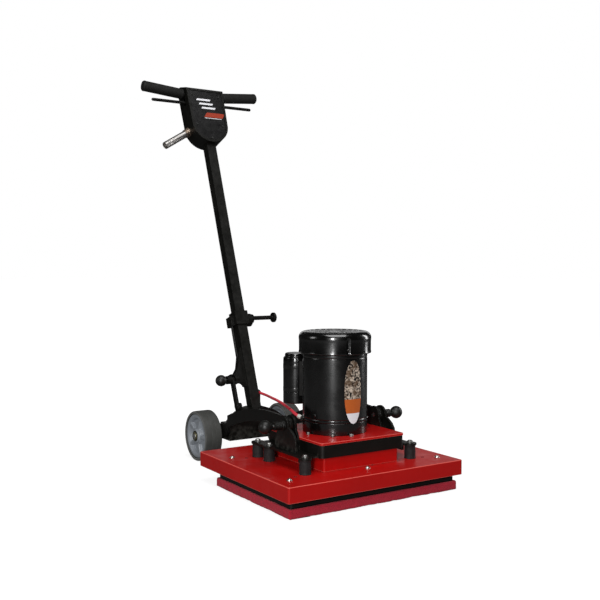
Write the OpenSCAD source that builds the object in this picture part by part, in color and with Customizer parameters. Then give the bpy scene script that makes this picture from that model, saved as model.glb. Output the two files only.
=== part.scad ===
// Orbital floor machine with a rectangular pad. Millimetres, +Z up.
// Origin: on the floor under the motor's axis. -Y is the machine's front,
// +Y is the operator's side, where the wheels and the mast are.

/* [Pad and driver] */
// Width of the floor pad, a standard 20 inch size
pad_w = 508; // [480:2:512]
// Depth of the floor pad, front to back
pad_d = 364; // [340:2:380]
// Thickness of the floor pad
pad_t = 24; // [18:1:25]
// Thickness of the driver plate
driver_t = 11; // [8:1:11]
// Throw of the eccentric, half the width of the pad's orbit
orbit_r = 3.2; // [2:0.2:4]

/* [Deck] */
// Width of the sheet steel deck
deck_w = 524; // [510:2:530]
// Distance from the motor's axis to the deck's front edge
deck_front = 196; // [190:1:200]
// Distance from the motor's axis to the deck's rear edge
deck_rear = 255; // [245:1:255]
// Height of the deck's top face
deck_top = 80; // [78:1:82]
// Height of the deck's skirt
skirt_h = 38; // [34:1:38]
// Thickness of the deck's sheet
deck_sheet = 3; // [2:0.5:4]

/* [Motor] */
// Diameter of the motor body
motor_d = 167; // [160:1:170]
// Height of the seam between the end bell and the motor body
bell_top = 182; // [176:1:190]
// Height of the fan cover's lower edge
cover_base = 354; // [345:1:360]
// Height of the fan cover's top
cover_top = 409; // [404:1:415]
// Diameter of the fan cover
cover_d = 187; // [182:1:190]

/* [Carriage] */
// Wheel radius
wheel_r = 73.5; // [72:0.5:75]
// Wheel width
wheel_w = 54; // [48:1:56]
// Distance from the motor's axis to the wheel axle
axle_y = 480; // [478:1:486]
// Height of the pin axis that carries the arms
pin_z = 179; // [177:1:181]

/* [Mast] */
// Backward lean of the mast at rest, in degrees
mast_lean = 19.8; // [18:0.1:20.5]
// Side of the square mast tube
mast_side = 31; // [28:1:31]
// Distance from the mast's pivot to the handle housing's bottom
housing_base = 891; // [870:1:900]
// Length of each hand grip
grip_len = 134; // [115:1:136]

/* [Hidden] */
$fn = 48;
eps = 0.01;         // makes a cutter pass through a face
running = 0.05;     // radial clearance of a shaft that turns in its hole

red = [0.62, 0.05, 0.05];
black = [0.10, 0.10, 0.10];
rubber = [0.22, 0.22, 0.23];
steel = [0.70, 0.70, 0.72];
grey = [0.50, 0.51, 0.53];

driver_w = pad_w - 10;
driver_d = pad_d - 12;
driver_top = pad_t + driver_t;
pad_corner_r = 4;
driver_corner_r = 10;
deck_under = deck_top - deck_sheet;
screw_x = 225;                // deck screws, each over a driver isolator
screw_y = 140;
driver_iso_r = 19;
shaft_hole_r = 72;            // opening in the deck for the eccentric
pedestal_w = 227;
pedestal_y = 117;
pedestal_wall = 4;
plate_z = 146;                // underside of the motor plate
plate_top = 152;
frame_w = 254;                // isolated frame: a ring round the pedestal
frame_wall = 6;
frame_bottom = 115;
rail_t = 5;
rail_top = frame_bottom + rail_t;
rail_lip = 8;                 // the rails' width outside the rubber mounts' middles
iso_x = 161;                  // rubber mounts between the deck and the frame
iso_y = [-108, 60, 118];
iso_r = 15;
iso_lug_r = 17;
shaft_r = 11;
fan_end = 398;                // upper end of the motor shaft
bearing_r = 26;
hub_top = 112;
journal_r = 12.5;
journal_bottom = 37;
journal_top = 60;
pin_r = 6;                    // quick-release pins in the arms
pin_tip = 129.5;              // the pin ends inside the inner ear
pin_shoulder = 156;
ear_in = 127.5;               // inner ear plate, distance from the middle
ear_out = 149;                // outer ear plate
ear_t = 6;
// Front edge of an ear, as a share of its reach and a height
ear_arc = [[1, 136], [0.97, 150], [0.82, 162], [0.57, 172], [0.3, 179], [0, 184]];
arm_in = 137;
arm_t = 8;
arm_jog = 103;                // inner face of the arms beside the cross member
barrel_end = 182;
knob_x = 205.5;
knob_r = 17;
knob_neck_r = 9.5;
knob_neck = 18;               // from the knob's middle to the end of its neck
arc_y = 90;                   // centre of the arms' arched part
arc_z = -411;
arc_r = 596;
arm_half = 16;                // half the width of an arm
axle_r = 8;
wheel_in = 114;
rim_r = 64;                   // outside of the wheel cores
nut_recess = 8;               // depth of the recess round each axle nut
cross_front = 384;
cross_rear = 442;
cross_low = 68;
cross_top = 158;
cross_wall = 4;
dome_r = 108;
shoulder_z = 116;
pivot_y = 413;                // mast pivot, inside the cross member
pivot_z = 128;
pivot_bolt_r = 6;
mast_wall = 2.5;
mast_top = housing_base + 105;
housing_len = 189;
housing_top_half = 66;        // half width of the housing at its top
housing_half = 62;
housing_n = 32;               // half depth of the handle housing
lever_s = 1039;               // distance from the mast pivot to the trigger levers
lever_pivot_x = 34;
lever_r = 5;
bar_s = 1063;                 // distance from the mast pivot to the handlebar
bar_rise = 6;                 // rise of each grip towards its end, in degrees
bar_n = 3;
bar_r = 11;
grip_r = 17;
grip_start = 73.5;
lock_s = 114.8;               // distance from the mast pivot to the mast plunger
plunger_r = 5;
strut_x = -58;                // middle of the adjuster strut
strut_t = 7;
strut_half = 10;
strut_y = 422;                // guide pin at the adjuster strut's lower end
strut_z = 160;
guide_r = 4;
plunger_x = -95.5;             // middle of the mast plunger's knob
plunger_tip = -54.2;
shoulder_x = -64.5;           // collar that the plunger's spring pushes on
clamp_s = 304;
peg_r = 6.5;
inlet_s = 942;
inlet_x = -58;
inlet_n = -8;
inlet_drop = 31.7;            // downward slope of the power inlet, in degrees
capacitor = [-48.5, 111.6];
capacitor_r = 34;
can_low = 213;
can_high = 346;

// Places things in the mast's own frame: z runs up the mast, -y is its front.
module on_mast() {
    translate([0, pivot_y, pivot_z]) rotate([-mast_lean, 0, 0]) children();
}

// A box with round vertical edges, its middle at the origin in x and y.
module plate(w, d, h, r) {
    linear_extrude(h) difference() {
        square([w, d], center = true);
        for (a = [-1, 1], b = [-1, 1])
            translate([a * w / 2, b * d / 2]) difference() {
                square(2 * r, center = true);
                translate([-a * r, -b * r]) circle(r);
            }
    }
}

// A cylinder that lies along X from x0 to x1.
module along_x(x0, x1, r) {
    translate([min(x0, x1), 0, 0]) rotate([0, 90, 0]) cylinder(h = abs(x1 - x0), r = r);
}

// A flat shape, drawn in (y, z), stood up and made thick along X from x0 to x1.
module side_plate(x0, x1) {
    translate([min(x0, x1), 0, 0]) rotate([90, 0, 90]) linear_extrude(abs(x1 - x0)) children();
}

// A hexagon bolt head or nut, standing on z = 0.
module hex_head(across, h) {
    cylinder(h = h, d = across / cos(30), $fn = 6);
}

module ring(r_out, r_in, h) {
    difference() {
        cylinder(h = h, r = r_out);
        translate([0, 0, -1]) cylinder(h = h + 2, r = r_in);
    }
}

function unit(v) = v / norm(v);
function way(p, i) = unit(p[min(i + 1, len(p) - 1)] - p[max(i - 1, 0)]);
function side(p, i) = unit(cross(way(p, i), [0, 0, 1]));
function section(p, i, r, n) = [for (k = [0:n - 1])
    p[i] + r * (cos(360 * k / n) * side(p, i) + sin(360 * k / n) * cross(side(p, i), way(p, i)))];

// A round tube swept along the points p.
module tube(p, r, n) {
    last = len(p) - 1;
    points = [for (i = [0:last]) for (q = section(p, i, r, n)) q];
    walls = [for (i = [0:last - 1], k = [0:n - 1])
        [i * n + k, i * n + (k + 1) % n, (i + 1) * n + (k + 1) % n, (i + 1) * n + k]];
    near_end = [[for (k = [n - 1:-1:0]) k]];
    far_end = [[for (k = [0:n - 1]) last * n + k]];
    polyhedron(points, concat(walls, near_end, far_end));
}

// A coil spring that stands on z = 0.
module coil(r, wire, h, turns) {
    steps = 10 * turns;
    tube([for (i = [0:steps]) [r * cos(36 * i), r * sin(36 * i), h * i / steps]], wire, 6);
}

// ---- Deck ----

module deck_pan() {
    mid = (deck_rear - deck_front) / 2;
    depth = deck_rear + deck_front;
    color(red) difference() {
        translate([0, mid, deck_top - skirt_h]) plate(deck_w, depth, skirt_h, 5);
        translate([0, mid, deck_top - skirt_h - 1])
            plate(deck_w - 2 * deck_sheet, depth - 2 * deck_sheet, skirt_h + 1 - deck_sheet, 2.5);
        translate([0, 0, deck_under - 1]) cylinder(h = deck_sheet + 2, r = shaft_hole_r);
    }
}

module pedestal() {
    inner = 2 * pedestal_wall;
    color(red) difference() {
        translate([0, 0, deck_top]) plate(pedestal_w, 2 * pedestal_y, plate_z - deck_top, 4);
        translate([0, 0, deck_top - 1])
            plate(pedestal_w - inner, 2 * pedestal_y - inner, plate_z - deck_top + 2, 2);
    }
}

module motor_plate() {
    color(red) difference() {
        translate([0, 0, plate_z]) plate(frame_w, frame_w, plate_top - plate_z, 8);
        translate([0, 0, plate_z - 1]) cylinder(h = 8, r = 40);
    }
}

module frame_ring() {
    difference() {
        translate([0, 0, frame_bottom]) plate(frame_w, frame_w, plate_z - frame_bottom - 0.5, 12);
        translate([0, 0, frame_bottom - 1])
            plate(frame_w - 2 * frame_wall, frame_w - 2 * frame_wall, plate_z - frame_bottom + 2, 7);
    }
}

// A side rail with a round lug over each rubber mount, on the side of sign s.
module frame_rail(s) {
    rail_front = iso_y[0];
    rail_rear = iso_y[2];
    difference() {
        union() {
            translate([s > 0 ? frame_w / 2 - 1 : -iso_x, rail_front, frame_bottom])
                cube([iso_x - frame_w / 2 + 1, rail_rear - rail_front, rail_t]);
            for (y = iso_y) translate([s * iso_x, y, frame_bottom])
                cylinder(h = rail_t, r = iso_lug_r);
            translate([s > 0 ? iso_x : -iso_x - 14, iso_y[1], frame_bottom])
                cube([14, iso_y[2] - iso_y[1], rail_t]);
            translate([s > 0 ? iso_x : -iso_x - rail_lip, iso_y[0], frame_bottom])
                cube([rail_lip, iso_y[1] - iso_y[0], rail_t]);
        }
        for (y = iso_y) translate([s * iso_x, y, frame_bottom - 1]) cylinder(h = 8, r = 4.2);
    }
    // Bracing web under the rail, behind the front mount
    translate([s * 151 - 3, rail_front + 16, frame_bottom - 16]) cube([6, 26, 16]);
}

module isolation_frame() {
    color(black) union() {
        frame_ring();
        frame_rail(-1);
        frame_rail(1);
    }
}

// One ear plate: a sloping front edge, a round top about the pin, drawn in (y, z).
module ear_shape(front) {
    difference() {
        union() {
            polygon([[-34, rail_top], [38, rail_top], [38, 140], [23, pin_z - 4],
                [-21, pin_z + 8], [-24, pin_z - 6]]);
            polygon(concat([[0, rail_top], [front, rail_top]], [for (p = ear_arc) [p[0] * front, p[1]]]));
            translate([0, pin_z]) circle(24);
        }
        translate([0, pin_z]) circle(pin_r + running);
    }
}

// The outer ears bulge forward, the inner ears don't.
module pivot_ears() {
    color(black) for (s = [-1, 1]) {
        side_plate(s * ear_in, s * (ear_in + ear_t)) translate([4, 0]) ear_shape(-36);
        side_plate(s * ear_out, s * (ear_out + ear_t)) translate([4, 0]) ear_shape(-60);
    }
}

module frame_isolators() {
    color(rubber) for (s = [-1, 1], y = iso_y)
        translate([s * iso_x, y, deck_top]) difference() {
            cylinder(h = frame_bottom - deck_top, r = iso_r);
            translate([0, 0, 22]) cylinder(h = 20, r = 4);
        }
}

module isolator_bolts() {
    color(steel) for (s = [-1, 1], y = iso_y) translate([s * iso_x, y, rail_top]) {
        translate([0, 0, -16]) cylinder(h = 17, r = 3.9);
        cylinder(h = 1.6, r = 9);
        translate([0, 0, 1.6]) hex_head(12, 5);
    }
}

module deck_screws() {
    color(steel) for (x = [-screw_x, 0, screw_x], s = [-1, 1])
        translate([x, s * screw_y, deck_top]) {
            cylinder(h = 1.2, r = 7);
            hex_head(9, 4.5);
            intersection() {
                translate([0, 0, 3]) sphere(4.4, $fn = 32);
                cylinder(h = 9, r = 6);
            }
        }
}

module driver_isolators() {
    color(rubber) for (x = [-screw_x, 0, screw_x], s = [-1, 1])
        translate([x, s * screw_y, driver_top]) cylinder(h = deck_under - driver_top, r = driver_iso_r);
}

// ---- Motor ----

module motor_body() {
    color(black) union() {
        translate([0, 0, bell_top]) ring(motor_d / 2, motor_d / 2 - 5, cover_base - bell_top);
        // Upper end shield, which holds the upper bearing
        difference() {
            translate([0, 0, cover_base - 8]) cylinder(h = 8, r = motor_d / 2 - 4);
            translate([0, 0, cover_base - 9]) cylinder(h = 10, r = bearing_r);
        }
    }
}

module drive_end_bell() {
    color(black) difference() {
        union() {
            translate([0, 0, plate_top]) cylinder(h = bell_top - plate_top, r = motor_d / 2);
            translate([0, 0, plate_top - 5]) cylinder(h = 6, r = 39.5);
        }
        translate([0, 0, plate_top + 15]) cylinder(h = bell_top, r = motor_d / 2 - 8);
        translate([0, 0, plate_top]) cylinder(h = 20, r = bearing_r);
        translate([0, 0, plate_top - 6]) cylinder(h = 10, r = shaft_r + 3);
    }
}

module fan_cover() {
    edge = 14;
    wall = 2.5;
    color(black) union() {
        rotate_extrude($fn = 96) difference() {
            union() {
                translate([0, cover_base]) square([cover_d / 2, cover_top - cover_base - edge]);
                translate([0, cover_base]) square([cover_d / 2 - edge, cover_top - cover_base]);
                translate([cover_d / 2 - edge, cover_top - edge]) circle(edge);
            }
            translate([-1, cover_base - 1])
                square([cover_d / 2 - wall + 1, cover_top - cover_base - edge + 1]);
            translate([-1, cover_base]) square([cover_d / 2 - edge + 1, cover_top - cover_base - wall]);
            translate([cover_d / 2 - edge, cover_top - edge]) circle(edge - wall);
            translate([-cover_d, 0]) square([cover_d, cover_top * 2]);
        }
        // Lower rim that sits on the motor body
        translate([0, 0, cover_base]) ring(cover_d / 2 - wall + eps, motor_d / 2 - 6, 3);
    }
}

module stator() {
    color(grey) translate([0, 0, 204]) ring(motor_d / 2 - 5, 44, 112);
}

module motor_bearings() {
    color(steel) for (z = [plate_top, cover_base - 8]) translate([0, 0, z])
        ring(bearing_r, shaft_r + running, z == plate_top ? 15 : 8);
}

module capacitor_can() {
    color(black) translate([capacitor[0], capacitor[1], can_low]) union() {
        cylinder(h = can_high - can_low - 12, r = capacitor_r);
        translate([0, 0, can_high - can_low - 12]) cylinder(h = 12, r = capacitor_r - 3);
    }
}

// A saddle between the motor body and the capacitor can.
module capacitor_bracket() {
    turn = atan2(capacitor[1], capacitor[0]);
    color(black) difference() {
        rotate([0, 0, turn]) translate([motor_d / 2 - 14, -22, 236]) cube([26, 44, 90]);
        translate([0, 0, 200]) cylinder(h = 160, r = motor_d / 2, $fn = 96);
        translate([capacitor[0], capacitor[1], 200]) cylinder(h = 160, r = capacitor_r);
    }
}

motor_bolt_angles = [8, 52, 82, 188, 232, 262];

module motor_bolts() {
    color(steel) for (a = motor_bolt_angles)
        rotate([0, 0, a]) translate([91, 0, plate_top]) {
            cylinder(h = 1, r = 6);
            hex_head(9, 5);
        }
}

// ---- Lead between the carriage and the motor ----

lead_r = 4;
lead_sides = 10;
// Centre line of the lead, from the connector to the motor's gland
lead_route = [
    [25, 442, 193.5], [25, 430, 193], [25, 415, 192], [24, 400, 191.5], [21, 384, 191.5],
    [16, 366, 192], [8, 345, 193.5], [-2, 320, 195.5], [-13, 292, 197.5], [-24, 260, 199.5],
    [-35, 225, 200.5], [-45, 190, 200.5], [-54, 157, 199.5], [-62, 128, 198], [-69, 103, 196],
    [-74, 84, 193.5], [-76.5, 69, 190.5], [-75.5, 57, 187], [-71, 47, 183.5]
];

module motor_lead() {
    color(red) tube(lead_route, lead_r, lead_sides);
}

module motor_gland() {
    foot = lead_route[len(lead_route) - 1];
    end_way = way(lead_route, len(lead_route) - 1);
    color(black) difference() {
        translate(foot) rotate([0, acos(end_way[2]), atan2(end_way[1], end_way[0])])
            union() {
                cylinder(h = 24, r = 7.5);
                cylinder(h = 7, r = 9, $fn = 6);
            }
        translate([0, 0, 100]) cylinder(h = 200, r = motor_d / 2, $fn = 96);
    }
}

// ---- Quick-release pins ----

module pin_barrels() {
    color(black) for (s = [-1, 1]) translate([0, 4, pin_z]) difference() {
        union() {
            along_x(s * (ear_out + ear_t), s * (ear_out + ear_t + 4), 13.5);
            along_x(s * (ear_out + ear_t), s * barrel_end, 11);
        }
        along_x(s * (ear_out + ear_t - 1), s * (barrel_end - 2), 7.4);
        along_x(s * (barrel_end - 3), s * (barrel_end + 1), 4 + running);
    }
}

// A ball centred at the origin with a neck below it, turned in one piece.
module ball_knob(r, neck_r, neck_length) {
    rotate_extrude() intersection() {
        union() {
            circle(r);
            translate([0, -neck_length]) square([neck_r, neck_length]);
        }
        translate([0, -2 * r]) square([2 * r, 4 * r]);
    }
}

module lock_pin(s) {
    color(steel) translate([0, 4, pin_z]) union() {
        along_x(s * pin_tip, s * pin_shoulder, pin_r);
        along_x(s * pin_shoulder, s * (knob_x - knob_neck), 4);
    }
}

module left_lock_pin() { lock_pin(-1); }
module right_lock_pin() { lock_pin(1); }

module pin_knob(s) {
    color(black) translate([s * knob_x, 4, pin_z]) rotate([0, s * 90, 0])
        ball_knob(knob_r, knob_neck_r, knob_neck);
}

module left_pin_knob() { pin_knob(-1); }
module right_pin_knob() { pin_knob(1); }

module pin_spring(s) {
    start = pin_shoulder + 0.8;
    color(steel) translate([s * start, 4, pin_z]) rotate([0, s * 90, 0])
        coil(5.7, 0.7, barrel_end - 2.8 - start, 5);
}

module left_pin_spring() { pin_spring(-1); }
module right_pin_spring() { pin_spring(1); }

// ---- Rotor and eccentric ----

module motor_shaft() {
    color(steel) translate([0, 0, journal_top + 6]) cylinder(h = fan_end - journal_top - 6, r = shaft_r);
}

module rotor_core() {
    color(grey) translate([0, 0, 206]) ring(43, shaft_r, 108);
}

module cooling_fan() {
    color(black) translate([0, 0, 370]) union() {
        translate([0, 0, -1]) ring(22, shaft_r, 19);
        ring(70, 15, 3);
        for (i = [0:6]) rotate([0, 0, i * 360 / 7]) translate([19, -1.5, 1]) cube([48, 3, 14]);
    }
}

module eccentric_hub() {
    sweep = 62;
    color(steel) union() {
        difference() {
            translate([0, 0, journal_top]) cylinder(h = hub_top - journal_top, r = 27);
            translate([0, 0, journal_top + 6]) cylinder(h = 80, r = shaft_r);
        }
        translate([orbit_r, 0, journal_bottom])
            cylinder(h = journal_top - journal_bottom + eps, r = journal_r);
        // Counterweight, opposite the throw
        difference() {
            translate([0, 0, 86]) cylinder(h = 18, r = sweep);
            translate([0, 0, 85]) cylinder(h = 20, r = 20);
            translate([-10, -sweep - 1, 85]) cube([sweep + 12, 2 * sweep + 2, 20]);
        }
    }
}

// ---- Driver ----

module driver_plate() {
    color(black) translate([orbit_r, 0, pad_t]) plate(driver_w, driver_d, driver_t, driver_corner_r);
}

module bearing_housing() {
    color(black) translate([orbit_r, 0, driver_top]) difference() {
        union() {
            cylinder(h = 4, r = 55);
            cylinder(h = 22, r = 41);
        }
        translate([0, 0, 3]) cylinder(h = 30, r = 31);
        translate([0, 0, -1]) cylinder(h = 6, r = 20);
    }
}

module driver_bearing() {
    color(steel) translate([orbit_r, 0, driver_top + 3]) ring(31, journal_r + running, 17);
}

module floor_pad() {
    color(red) translate([orbit_r, 0, 0]) plate(pad_w, pad_d, pad_t, pad_corner_r);
}

// ---- Carriage ----

// Points along the arms' arch at radius r, from y0 to y1.
function arch(r, y0, y1) = [for (i = [0:24])
    let (y = y0 + (y1 - y0) * i / 24) [y, arc_z + sqrt(r * r - (y - arc_y) * (y - arc_y))]];

// Outline of an arm in (y, z): an arch from the pin, and a tail down to the axle.
module arm_shape() {
    tail_y = 400;
    polygon(concat(arch(arc_r + arm_half, 4, tail_y),
        [[440, 112], [axle_y + 4, wheel_r + 19], [axle_y - 2, wheel_r - 18], [440, 72]],
        arch(arc_r - arm_half, tail_y, 4)));
}

// Plan of the right arm in (x, y): straight, then bent in towards the cross member.
module arm_plan() {
    bend_y = 318;
    end_y = 382;
    polygon([
        [arm_in, -30], [arm_in + arm_t, -30], [arm_in + arm_t, bend_y + 2],
        [arm_jog + arm_t, end_y + 2], [arm_jog + arm_t, 520], [arm_jog, 520],
        [arm_jog, end_y - 2], [arm_in, bend_y - 2]
    ]);
}

module arm() {
    eye_r = 20;
    color(black) difference() {
        union() {
            intersection() {
                side_plate(90, 160) arm_shape();
                linear_extrude(260) arm_plan();
            }
            translate([0, 4, pin_z]) along_x(arm_in, arm_in + arm_t, eye_r);
            translate([0, axle_y, wheel_r]) along_x(arm_jog, arm_jog + arm_t, eye_r);
        }
        translate([0, 4, pin_z]) along_x(arm_in - 1, arm_in + arm_t + 1, pin_r + running);
        translate([0, axle_y, wheel_r]) along_x(arm_jog - 1, arm_jog + arm_t + 1, axle_r);
    }
}

module right_arm() { arm(); }
module left_arm() { mirror([1, 0, 0]) arm(); }

// Outline of the cross member in (x, z), drawn inside its edge by the inset t.
module dome_shape(t) {
    half = arm_jog - t;
    intersection() {
        union() {
            translate([0, cross_top - dome_r]) circle(dome_r - t, $fn = 96);
            translate([-half, 0]) square([2 * half, shoulder_z - t]);
        }
        translate([-half, t > 0 ? 0 : cross_low]) square([2 * half, 200]);
    }
}

module cross_member() {
    depth = cross_rear - cross_front;
    gap = mast_side / 2 + 2;
    color(black) union() {
        difference() {
            translate([0, cross_rear, 0]) rotate([90, 0, 0]) linear_extrude(depth) dome_shape(0);
            translate([0, cross_rear - cross_wall, 0]) rotate([90, 0, 0])
                linear_extrude(depth - 2 * cross_wall) dome_shape(cross_wall);
            // Slot that lets the mast lie back
            translate([-gap, cross_front + cross_wall, 112]) cube([2 * gap, depth, 60]);
        }
        // Two cheeks that carry the mast's pivot bolt
        for (s = [-1, 1]) difference() {
            translate([s > 0 ? gap : -gap - 4, cross_front + 2, 96]) cube([4, depth - 4, 57]);
            translate([0, pivot_y, pivot_z]) along_x(s * (gap - 1), s * (gap + 5), pivot_bolt_r);
        }
        // Lug and pin on which the adjuster strut's lower end rides
        translate([strut_x + 6, strut_y - 10, 136]) cube([6, 20, strut_z - 136]);
        translate([0, strut_y, strut_z]) {
            along_x(strut_x + 6, strut_x + 12, 10);
            along_x(strut_x - 4, strut_x + 7, guide_r);
            along_x(strut_x - 6, strut_x - 4, 6.5);
        }
    }
}

module axle() {
    color(steel) translate([0, axle_y, wheel_r]) along_x(-172, 172, axle_r);
}

module axle_nuts() {
    color(steel) for (s = [-1, 1]) translate([s * (wheel_in + wheel_w - nut_recess + 0.5), axle_y, wheel_r])
        rotate([0, s * 90, 0]) difference() {
            union() {
                cylinder(h = 2, r = 14);
                translate([0, 0, 2]) hex_head(22, 9);
            }
            translate([0, 0, -1]) cylinder(h = 14, r = axle_r);
        }
}

module mast_pivot_bolt() {
    color(steel) translate([0, pivot_y, pivot_z]) {
        along_x(-32, 28, pivot_bolt_r);
        translate([28, 0, 0]) rotate([0, 90, 0]) hex_head(18, 7);
        translate([-39, 0, 0]) rotate([0, 90, 0]) hex_head(18, 9);
    }
}

// Strap up the cross member's rear wall, with the connector that the lead plugs into.
module lead_bracket() {
    mid = lead_route[0];
    color(black) difference() {
        union() {
            translate([mid[0] - 6, cross_rear, 124]) cube([14, 4, mid[2] - 124]);
            translate([mid[0], cross_rear + 4, mid[2]]) rotate([90, 0, 0]) cylinder(h = 4, r = 8.5);
            translate([mid[0], cross_rear + 9, mid[2]]) rotate([90, 0, 0]) cylinder(h = 16, r = 6.5);
        }
        translate([mid[0], cross_rear + 1, mid[2]]) rotate([90, 0, 0]) cylinder(h = 30, r = lead_r + 0.9);
    }
}

// ---- Wheels ----

// Profile in (radius, width), centred on the wheel's mid plane.
module tyre_body() {
    edge = 4;
    inner = rim_r;
    rotate_extrude($fn = 96) difference() {
        union() {
            translate([inner, -wheel_w / 2 + 2]) square([wheel_r - inner - edge, wheel_w - 4]);
            translate([inner, -wheel_w / 2 + edge]) square([wheel_r - inner, wheel_w - 2 * edge]);
            for (s = [-1, 1]) translate([wheel_r - edge, s * (wheel_w / 2 - edge)]) circle(edge);
            translate([inner + 2, -wheel_w / 2]) square([wheel_r - inner - edge - 2, wheel_w]);
        }
    }
}

module wheel_core_body() {
    difference() {
        union() {
            translate([0, 0, -wheel_w / 2 + 3]) ring(rim_r, rim_r - 8, wheel_w - 6);
            translate([0, 0, -wheel_w / 2]) cylinder(h = wheel_w, r = 20);
            translate([0, 0, -4]) cylinder(h = 8, r = rim_r - 7);
            for (i = [0:4]) rotate([0, 0, i * 72 + 18])
                translate([10, -4, -wheel_w / 2 + 6]) cube([rim_r - 16, 8, wheel_w - 12]);
        }
        translate([0, 0, -wheel_w]) cylinder(h = 2 * wheel_w, r = axle_r + running);
        translate([0, 0, wheel_w / 2 - nut_recess]) cylinder(h = wheel_w, r = 15.5);
    }
}

module at_wheel(s) {
    translate([s * (wheel_in + wheel_w / 2), axle_y, wheel_r]) rotate([0, s * 90, 0]) children();
}

module left_wheel_core() { color(grey) at_wheel(-1) wheel_core_body(); }
module right_wheel_core() { color(grey) at_wheel(1) wheel_core_body(); }
module left_tyre() { color(rubber) at_wheel(-1) tyre_body(); }
module right_tyre() { color(rubber) at_wheel(1) tyre_body(); }

// ---- Mast ----

module mast_tube() {
    foot = 15.5;
    inner = mast_side - 2 * mast_wall;
    color(black) on_mast() difference() {
        translate([-mast_side / 2, -mast_side / 2, -foot]) cube([mast_side, mast_side, mast_top + foot]);
        translate([-inner / 2, -inner / 2, -foot - 1]) cube([inner, inner, mast_top + foot - 2]);
        along_x(-mast_side, mast_side, pivot_bolt_r + running);
    }
}

// Cord wrap on the mast: a split clamp, a peg with a round end on the right.
module wrap_clamp() {
    half = mast_side / 2;
    color(black) on_mast() translate([0, 0, clamp_s]) difference() {
        union() {
            translate([-half - 6, -half - 6, -22]) cube([mast_side + 12, mast_side + 12, 42]);
            // Block behind the mast, on its left
            translate([-half - 14, -3, -22]) cube([32, 33, 31]);
            translate([half, 0, -6]) rotate([0, 90, 0]) cylinder(h = 22, r = 20);
            translate([half + 22, 0, -2]) rotate([0, 90, 0]) cylinder(h = 9, r = 14);
        }
        translate([-half, -half, -30]) cube([mast_side, mast_side, 60]);
        along_x(20, 60, peg_r);
    }
}

module wrap_peg() {
    color(black) on_mast() translate([0, 0, clamp_s]) union() {
        along_x(24, 122, peg_r);
        along_x(119, 127, 15.5);
        along_x(127, 132, 8);
    }
}

// Bracket on the mast's left side: a gusset, a cheek each side of the strut, a barrel.
module lock_bracket() {
    edge = -mast_side / 2;
    near = strut_x + strut_t / 2 + 2;
    far = strut_x - strut_t / 2 - 2;
    barrel = far - 14.5;
    rod_x = edge - 10;
    color(black) on_mast() translate([0, 0, lock_s]) difference() {
        union() {
            translate([0, strut_half, 0]) rotate([90, 0, 0]) linear_extrude(2 * strut_half)
                polygon([[edge, -26], [edge - 3, -24], [near, -11], [near, 15], [-38, 34],
                    [rod_x - 2, 70], [rod_x + 2, 84], [edge, 96]]);
            translate([far - 3, -strut_half, strut_half + 1.5]) cube([near - far + 5, 2 * strut_half, 3.5]);
            translate([far - 3, -strut_half, -10]) cube([3, 2 * strut_half, 25]);
            along_x(far, barrel, 12.4);
            along_x(near, near + 14, 12.4);
            // Rod from the gusset up to the wrap clamp
            translate([rod_x, 5, 60]) cylinder(h = clamp_s - 22 - lock_s - 60, r = 4.5);
        }
        // Arched lower edge
        translate([-36, -20, -24]) rotate([-90, 0, 0]) cylinder(h = 40, r = 13);
        along_x(far + 1, barrel + 1.5, 8);
        along_x(far, barrel - 1, 4 + running);
    }
}

// Outline of the handle housing in (x, s), drawn inside its edge by the inset t.
// Its straight sides run on upwards by the height above.
module shield_shape(t, above = 0) {
    r = housing_half + 1 - t;
    top = housing_top_half - t;
    high = housing_len - t;
    union() {
        translate([0, housing_half + 1]) circle(r, $fn = 96);
        polygon(concat([[-r, housing_half + 1], [r, housing_half + 1], [top, high]],
            above > 0 ? [[top, high + above], [-top, high + above]] : [], [[-top, high]]));
    }
}

// Side outline of the housing in (depth, s): the top rises towards the back.
module housing_side(t) {
    n = housing_n - t;
    polygon([[-n, 0 - 10], [n, 0 - 10], [n, housing_len + 27 - t], [8, housing_len + 22 - t],
        [-n, housing_len - t * 1.6]]);
}

module housing_solid(t) {
    intersection() {
        translate([0, housing_n - t, 0]) rotate([90, 0, 0]) linear_extrude(2 * (housing_n - t))
            shield_shape(t, 40);
        side_plate(-80, 80) housing_side(t);
    }
}

module handle_housing() {
    wall = 3;
    hole = mast_side / 2;
    color(black) on_mast() difference() {
        translate([0, 0, housing_base]) housing_solid(0);
        translate([0, 0, housing_base]) housing_solid(wall);
        // Front opening, closed by the cover
        translate([0, -housing_n + wall + 1, housing_base]) rotate([90, 0, 0])
            linear_extrude(wall + 3) shield_shape(8);
        translate([-hole, -hole, housing_base - 5]) cube([mast_side, mast_side, 40]);
        for (s = [-1, 1]) {
            // Slot in which a lever rocks
            translate([s > 0 ? 50 : -70, -bar_n - lever_r - 1.5, lever_s - 10])
                cube([20, 2 * lever_r + 3, 26]);
            translate([0, -bar_n, bar_s]) rotate([0, s > 0 ? 90 - bar_rise : bar_rise - 90, 0])
                cylinder(h = 90, r = bar_r);
        }
        inlet_place() translate([0, 0, -12]) cylinder(h = 30, r = 10);
    }
}

module housing_cover() {
    color(black) on_mast() translate([0, -housing_n + 3, housing_base]) rotate([90, 0, 0])
        linear_extrude(1.5) shield_shape(8.2);
}

// The bar, its ends rising a little, with two stubs for the grips.
module handlebar() {
    reach = grip_start + grip_len;
    color(black) on_mast() translate([0, -bar_n, bar_s]) union() {
        for (s = [-1, 1]) rotate([0, s > 0 ? 90 - bar_rise : bar_rise - 90, 0])
            cylinder(h = reach - 6, r = bar_r);
        translate([-14, -12, -18]) cube([28, 24, 20]);
    }
}

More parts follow.
